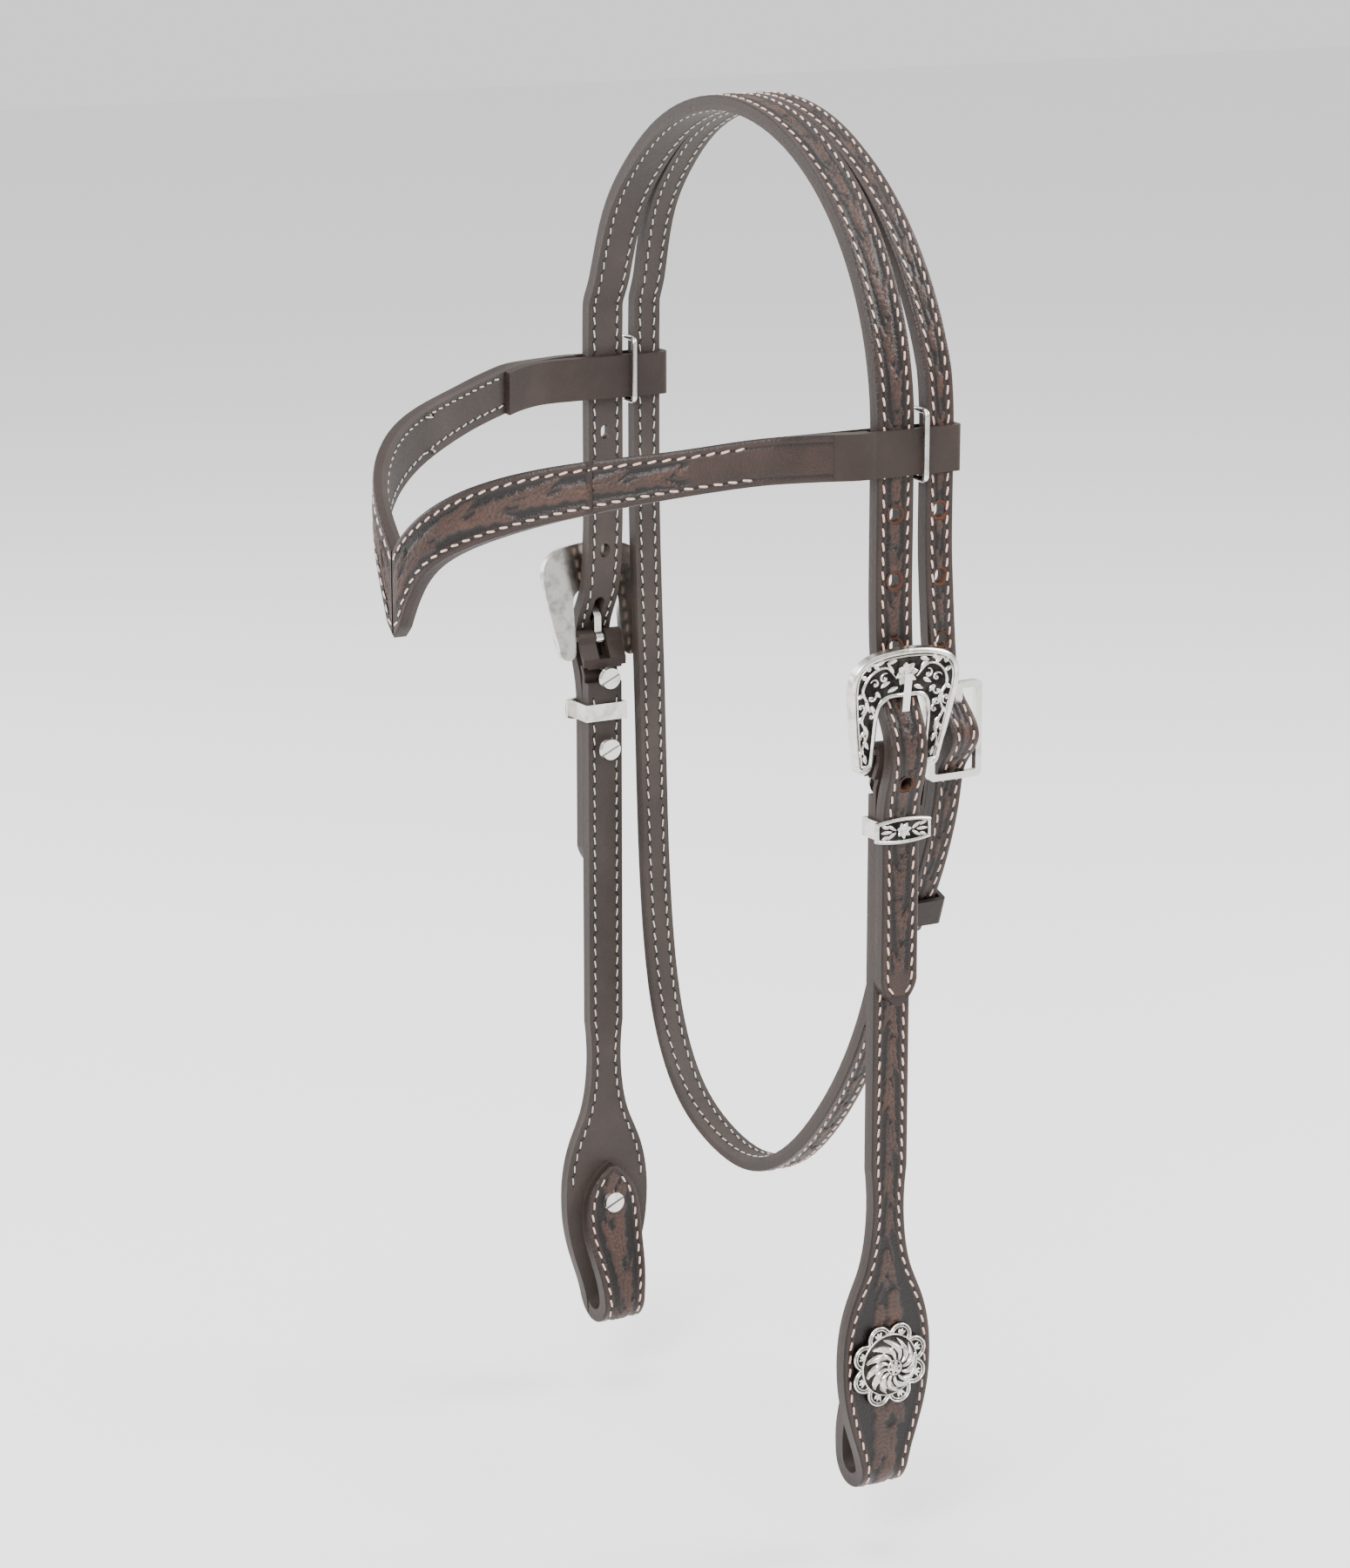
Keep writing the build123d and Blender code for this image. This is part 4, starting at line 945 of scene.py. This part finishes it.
def buckle_half(side, label, flip, plate, outer, inner):
    """Dark ground, rims, stem, scrolls and leaves of one half of a cheek buckle."""
    rim_base, base = BUCKLE_FACE + 0.02, BUCKLE_FACE + 0.06
    ground = Collector()
    dark = [turned(inset(outer, 1.9), flip), turned(inset(inner, -1.7), flip)]
    ground.add(ground_sheet(plate, *dark, base))
    ground.finish(f"{side}_buckle_ground_{label}", "headstall", "ground")
    work = Collector()
    for line, width, height, foot in (
        (inset(outer, 1.15), 1.05, 0.85, rim_base),
        (inset(outer, 2.75), 0.32, 0.40, base),
        (inset(inner, -0.95), 0.85, 0.65, rim_base),
        (smooth_line(BUCKLE_FOOT), 0.9, 0.8, rim_base),
    ):
        work.add(relief_stroke(plate, turned(line, flip), width, height, foot, False))
    stem = turned(smooth_line(BUCKLE_STEM), flip)
    work.add(relief_stroke(plate, stem, 0.62, 0.62, base))
    for u, v, start, turns in BUCKLE_SCROLLS:
        scroll = turned(spiral(u, v, start, turns, 2.1, 0.35), flip)
        work.add(relief_stroke(plate, scroll, 0.50, 0.60, base))
        work.dome(plate, flip * u, v, 0.55, 0.5, BUCKLE_FACE + 0.1)
    leaves(work, plate, flip, BUCKLE_LEAVES, 0.95, 0.62, base)
    work.finish(f"{side}_buckle_scrolls_{label}", "headstall")


def buckle_ornament(side):
    """Rim, flower and leaf scrolls of a cheek buckle, on its dark ground."""
    sign = 1 if side == "near" else -1
    tilt = math.radians(BUCKLE_TILT)
    up = (sign * math.sin(tilt), 0, math.cos(tilt))
    plate = Plate((sign * BUCKLE_BAR_X, FRONT_Y, BUCKLE_BAR_Z), (0, sign, 0), up)
    outer = even(smooth_line(BUCKLE_OUTER), 60)
    inner = even(smooth_line(BUCKLE_INNER), 60)
    for flip, label in ((1, "right"), (-1, "left")):
        buckle_half(side, label, flip, plate, outer, inner)
    work = Collector()
    flower(work, plate, 0, 30.4, 8, 4.3, 1.45, 0.8, BUCKLE_FACE + 0.06, 1.35)
    work.finish(f"{side}_buckle_flower", "headstall")


def first_hit(node, origin, way):
    """Where a ray first meets a CAD node."""
    return ray_tree(node).ray_cast(Vector(origin), Vector(way))[0]


def keeper_ornament(side):
    """Rim, flower and leaves of a keeper's plate."""
    sign = 1 if side == "near" else -1
    body = f"{side}_keeper"
    start = (sign * RAY_START, FRONT_Y + MM, KEEPER_Z)
    face = first_hit(f"{side}_cheek_keeper", start, (-sign, 0, 0))
    plate = Plate((face.x, FRONT_Y, KEEPER_Z), (0, sign, 0), ACROSS_Z)
    upper = even(smooth_line([(-12, 3.8), (-6, 4.7), (0, 5.0), (6, 4.7), (12, 3.8)]), 40)
    lower = [(u, -v) for u, v in upper]
    base = 0.05
    ground = Collector()
    ground.add(ground_sheet(plate, inset(upper, 1.0), inset(lower, -1.0), base))
    ground.finish(f"{side}_keeper_ground", body, "ground")
    work = Collector()
    ends = smooth_line([(11.4, 3.3), (11.5, 0.0), (11.4, -3.3)])
    for line in (inset(upper, 0.75), inset(lower, -0.75), ends, turned(ends, -1)):
        work.add(relief_stroke(plate, line, 0.62, 0.55, 0.02, False))
    flower(work, plate, 0, 0, 7, 2.7, 0.95, 0.55, base, 0.85)
    for flip in (1, -1):
        leaves(work, plate, flip, KEEPER_LEAVES, 0.72, 0.5, base)
    work.finish(f"{side}_keeper_flower", body)


def swirl_line(start, near, reach, sweep, power):
    """A curved ray from near the boss outwards, swept round as it goes."""
    points = []
    for i in range(14):
        t = i / 13
        r, b = near + reach * t, start + sweep * t**power
        points.append((r * math.cos(b), r * math.sin(b)))
    return points


def concho_ornament(side):
    """Scalloped rims, a ring of leaves and a flower boss on a concho."""
    sign = 1 if side == "near" else -1
    start = (sign * RAY_START, FRONT_Y + 14.5 * MM, CONCHO_Z)
    face = first_hit(f"{side}_concho", start, (-sign, 0, 0))
    plate = DomedPlate((face.x, FRONT_Y, CONCHO_Z), (0, sign, 0), ACROSS_Z)
    work = Collector()
    lobe_turn = 2 * math.pi / CONCHO_LOBES
    rim_half = math.radians(98)
    rim_base, base = 0.02, 0.03
    for k in range(CONCHO_LOBES):
        a = (k + 0.5) * lobe_turn
        u, v = LOBE_PLACE * math.cos(a), LOBE_PLACE * math.sin(a)
        for radius, width, height in ((4.75, 0.42, 0.6), (3.7, 0.30, 0.42)):
            arc = round_line(u, v, radius, a - rim_half, a + rim_half, 24)
            work.add(relief_stroke(plate, arc, width, height, rim_base, False))
        for turn in (-0.55, 0.0, 0.55):
            work.add(petal(plate, u, v, a + turn, 3.0, 0.62, 0.42, base))
        b = a + lobe_turn / 2
        work.dome(plate, 13.2 * math.cos(b), 13.2 * math.sin(b), 0.75, 0.6, rim_base)
    for radius, width, height in ((12.25, 0.40, 0.5), (8.3, 0.34, 0.4), (2.9, 0.40, 0.55)):
        ring = round_line(0, 0, radius, 0, 2 * math.pi, 96)
        work.add(relief_stroke(plate, ring, width, height, base, False))
    for k in range(12):
        a = 2 * math.pi * k / 12
        work.add(relief_stroke(plate, swirl_line(a, 3.4, 7.8, 0.85, 2), 0.95, 0.85, base))
        work.add(relief_stroke(plate, swirl_line(a + 0.22, 5.6, 5.2, 0.6, 1), 0.42, 0.5, base))
    flower(work, plate, 0, 0, 6, 2.2, 0.8, 0.5, base, 1.05)
    work.finish(f"{side}_concho_flower", f"{side}_concho_body")


def find_holes(tree, strip, start, end):
    """Adjustment holes in a strap: where a ray through its middle meets nothing."""
    runs, begun = [], None
    for s in np.arange(start, end, 0.3 * MM):
        low, high = strip.edges(s)
        middle = (low + high) / 2
        above = Vector(strip.at(s, middle, 5 * MM))
        below = Vector(strip.at(s, middle, -3 * MM))
        hit = tree.ray_cast(above, (below - above).normalized(), 7.9 * MM)[0]
        if hit is None and begun is None:
            begun = s
        if hit is not None and begun is not None:
            runs.append((begun, s))
            begun = None
    holes = []
    for a, b in runs:
        if b - a < 7 * MM:
            low, high = strip.edges((a + b) / 2)
            radius = (b - a) / 2 + 0.35 * MM
            holes.append(((a + b) / 2, float(low + high) / 2, radius))
    return holes


def hole_rims(name, strip, body, holes):
    """Raw punched rims round the adjustment holes."""
    rims = Collector()
    around = 28
    angle = np.linspace(0, 2 * np.pi, around, endpoint=False)
    profile = ((1.16, 0.42), (0.98, 0.50), (0.84, 0.25), (0.80, -2.6))
    for s0, w0, radius in holes:
        verts = []
        for share, height in profile:
            reach = share * radius
            s, w = s0 + reach * np.cos(angle), w0 + reach * np.sin(angle)
            verts += [tuple(v) for v in strip.at(s, w, np.full(around, height * MM))]
        rims.add((verts, tube_faces(len(profile), around)))
    make_piece(name, rims.verts, rims.faces, "raw", body)


# ---------------------------------------------------------------- finishing CAD nodes
def dress(name, material):
    """Give a CAD node its material."""
    node = NODES[name]
    node.data.materials.clear()
    node.data.materials.append(MATERIALS[material])


def dress_all():
    """Materials of every CAD node that stays in view."""
    for name in NODES:
        if name.endswith("lining"):
            dress(name, "lining")
        elif name in ("crown_outer", "browband_outer") or name.endswith("cheek_strap"):
            dress(name, "smooth")
        elif name == "throat_keeper":
            dress(name, "edge")
        elif name.endswith("concho"):
            dress(name, "ground")
        elif name.endswith(("cheek_buckle", "cheek_keeper")):
            dress(name, "silver")
        else:
            dress(name, "nickel")


# ---------------------------------------------------------------- scene
def studio():
    """Pale floor and soft light from above, behind and both sides."""
    world = bpy.data.worlds.new("studio")
    bpy.context.scene.world = world
    world.use_nodes = True
    sky = world.node_tree.nodes["Background"]
    sky.inputs["Color"].default_value = (1.0, 1.0, 1.0, 1.0)
    sky.inputs["Strength"].default_value = 1.15
    floor_z = cad_low[2] - 0.03
    mesh = bpy.data.meshes.new("floor")
    size = 6.0
    corners = [(size * u, size * v, floor_z) for u, v in ((-1, -1), (1, -1), (1, 1), (-1, 1))]
    mesh.from_pydata(corners, [], [(0, 1, 2, 3)])
    floor = bpy.data.objects.new("floor", mesh)
    bpy.context.collection.objects.link(floor)
    material, _, shader = node_material("pale_floor")
    shader.inputs["Base Color"].default_value = (0.93, 0.93, 0.93, 1)
    shader.inputs["Roughness"].default_value = 0.9
    mesh.materials.append(material)
    floor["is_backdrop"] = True
    for label, place, power, width in (
        ("key", (1.3, -1.5, 1.0), 62, 1.1),
        ("fill", (-1.6, -0.9, 0.5), 26, 1.5),
        ("rim", (0.6, 1.6, 0.9), 40, 1.0),
        ("top", (0.0, -0.2, 1.6), 30, 1.4),
    ):
        light = bpy.data.lights.new(label, "AREA")
        light.energy = power
        light.size = width
        lamp = bpy.data.objects.new(label, light)
        lamp.location = place
        lamp.rotation_mode = "QUATERNION"
        aim = Vector((0, 0, -0.25)) - Vector(place)
        lamp.rotation_quaternion = aim.to_track_quat("-Z", "Y")
        bpy.context.collection.objects.link(lamp)


def camera():
    """The camera at the near front quarter, a little above the headstall's middle."""
    azimuth, elevation, distance = math.radians(60.0), math.radians(13.9), 1.721
    back = Vector(
        (
            math.sin(azimuth) * math.cos(elevation),
            -math.cos(azimuth) * math.cos(elevation),
            math.sin(elevation),
        )
    )
    data = bpy.data.cameras.new("camera")
    data.lens = 100.0
    data.sensor_width = 36.0
    view = bpy.data.objects.new("camera", data)
    view.location = Vector((0, -0.035, -0.263)) + back * distance
    view.rotation_mode = "QUATERNION"
    view.rotation_quaternion = (-back).to_track_quat("-Z", "Y")
    bpy.context.collection.objects.link(view)
    bpy.context.scene.camera = view


def main():
    """Dress the frame, lay on the leather work, and light it."""
    dress_all()
    crown = ray_tree("crown_outer")
    front = front_strip(crown)
    rear = rear_strip(crown)
    throat = throat_strip(crown)
    cheek = cheek_strip(ray_tree("near_cheek_strap"))
    band = band_strip(ray_tree("browband_outer"))
    tip, billet = 10 * MM, 200 * MM
    plain_tip = 8 * MM
    far_end = front.length
    front_holes = find_holes(crown, front, tip, billet)
    front_holes += find_holes(crown, front, far_end - billet, far_end - tip)
    rear_holes = find_holes(crown, rear, tip, billet)
    tooled_skin(
        "crown_front_skin", front, "headstall", 3, plain_tip, far_end - plain_tip, 30, front_holes
    )
    tooled_skin(
        "crown_rear_skin", rear, "headstall", 5, plain_tip, rear.length, 26, rear_holes
    )
    hole_rims("crown_front_hole_rims", front, "headstall", front_holes)
    hole_rims("crown_rear_hole_rims", rear, "headstall", rear_holes)
    for side in ("near", "far"):
        buckle_ornament(side)
        keeper_ornament(side)
        concho_ornament(side)
    tooled_skin("throat_skin", throat, "headstall", 7, 0.0, throat.length, 24)
    both_seams("crown_front", front, "headstall")
    both_seams("crown_rear", rear, "headstall")
    both_seams("throat", throat, "headstall")
    plain_top, lining_length = 30 * MM, 215 * MM
    for side, strip in (("near", cheek), ("far", cheek.mirrored())):
        tooled_skin(f"{side}_cheek_skin", strip, "headstall", 11, plain_top, strip.length, 40)
        both_seams(f"{side}_cheek", strip, "headstall", lining_end=lining_length)
    loop_length, plain_length = 28 * MM, 52 * MM
    for side, strip in (("near", band), ("far", band.mirrored())):
        loop_at = strip.length - loop_length
        tooled_to = strip.length - plain_length
        tooled_skin(f"{side}_browband_skin", strip, "browband", 13, 0.0, tooled_to, 30)
        both_seams(f"{side}_browband", strip, "browband", loop_at, loop_at)
    studio()
    camera()


main()
low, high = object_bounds()
sizes = {"cad": cad_box, "visual": [list(low), list(high)]}
{"cad": [list(map(float, c)) for c in sizes["cad"]], "visual": [list(map(float, c)) for c in sizes["visual"]]}
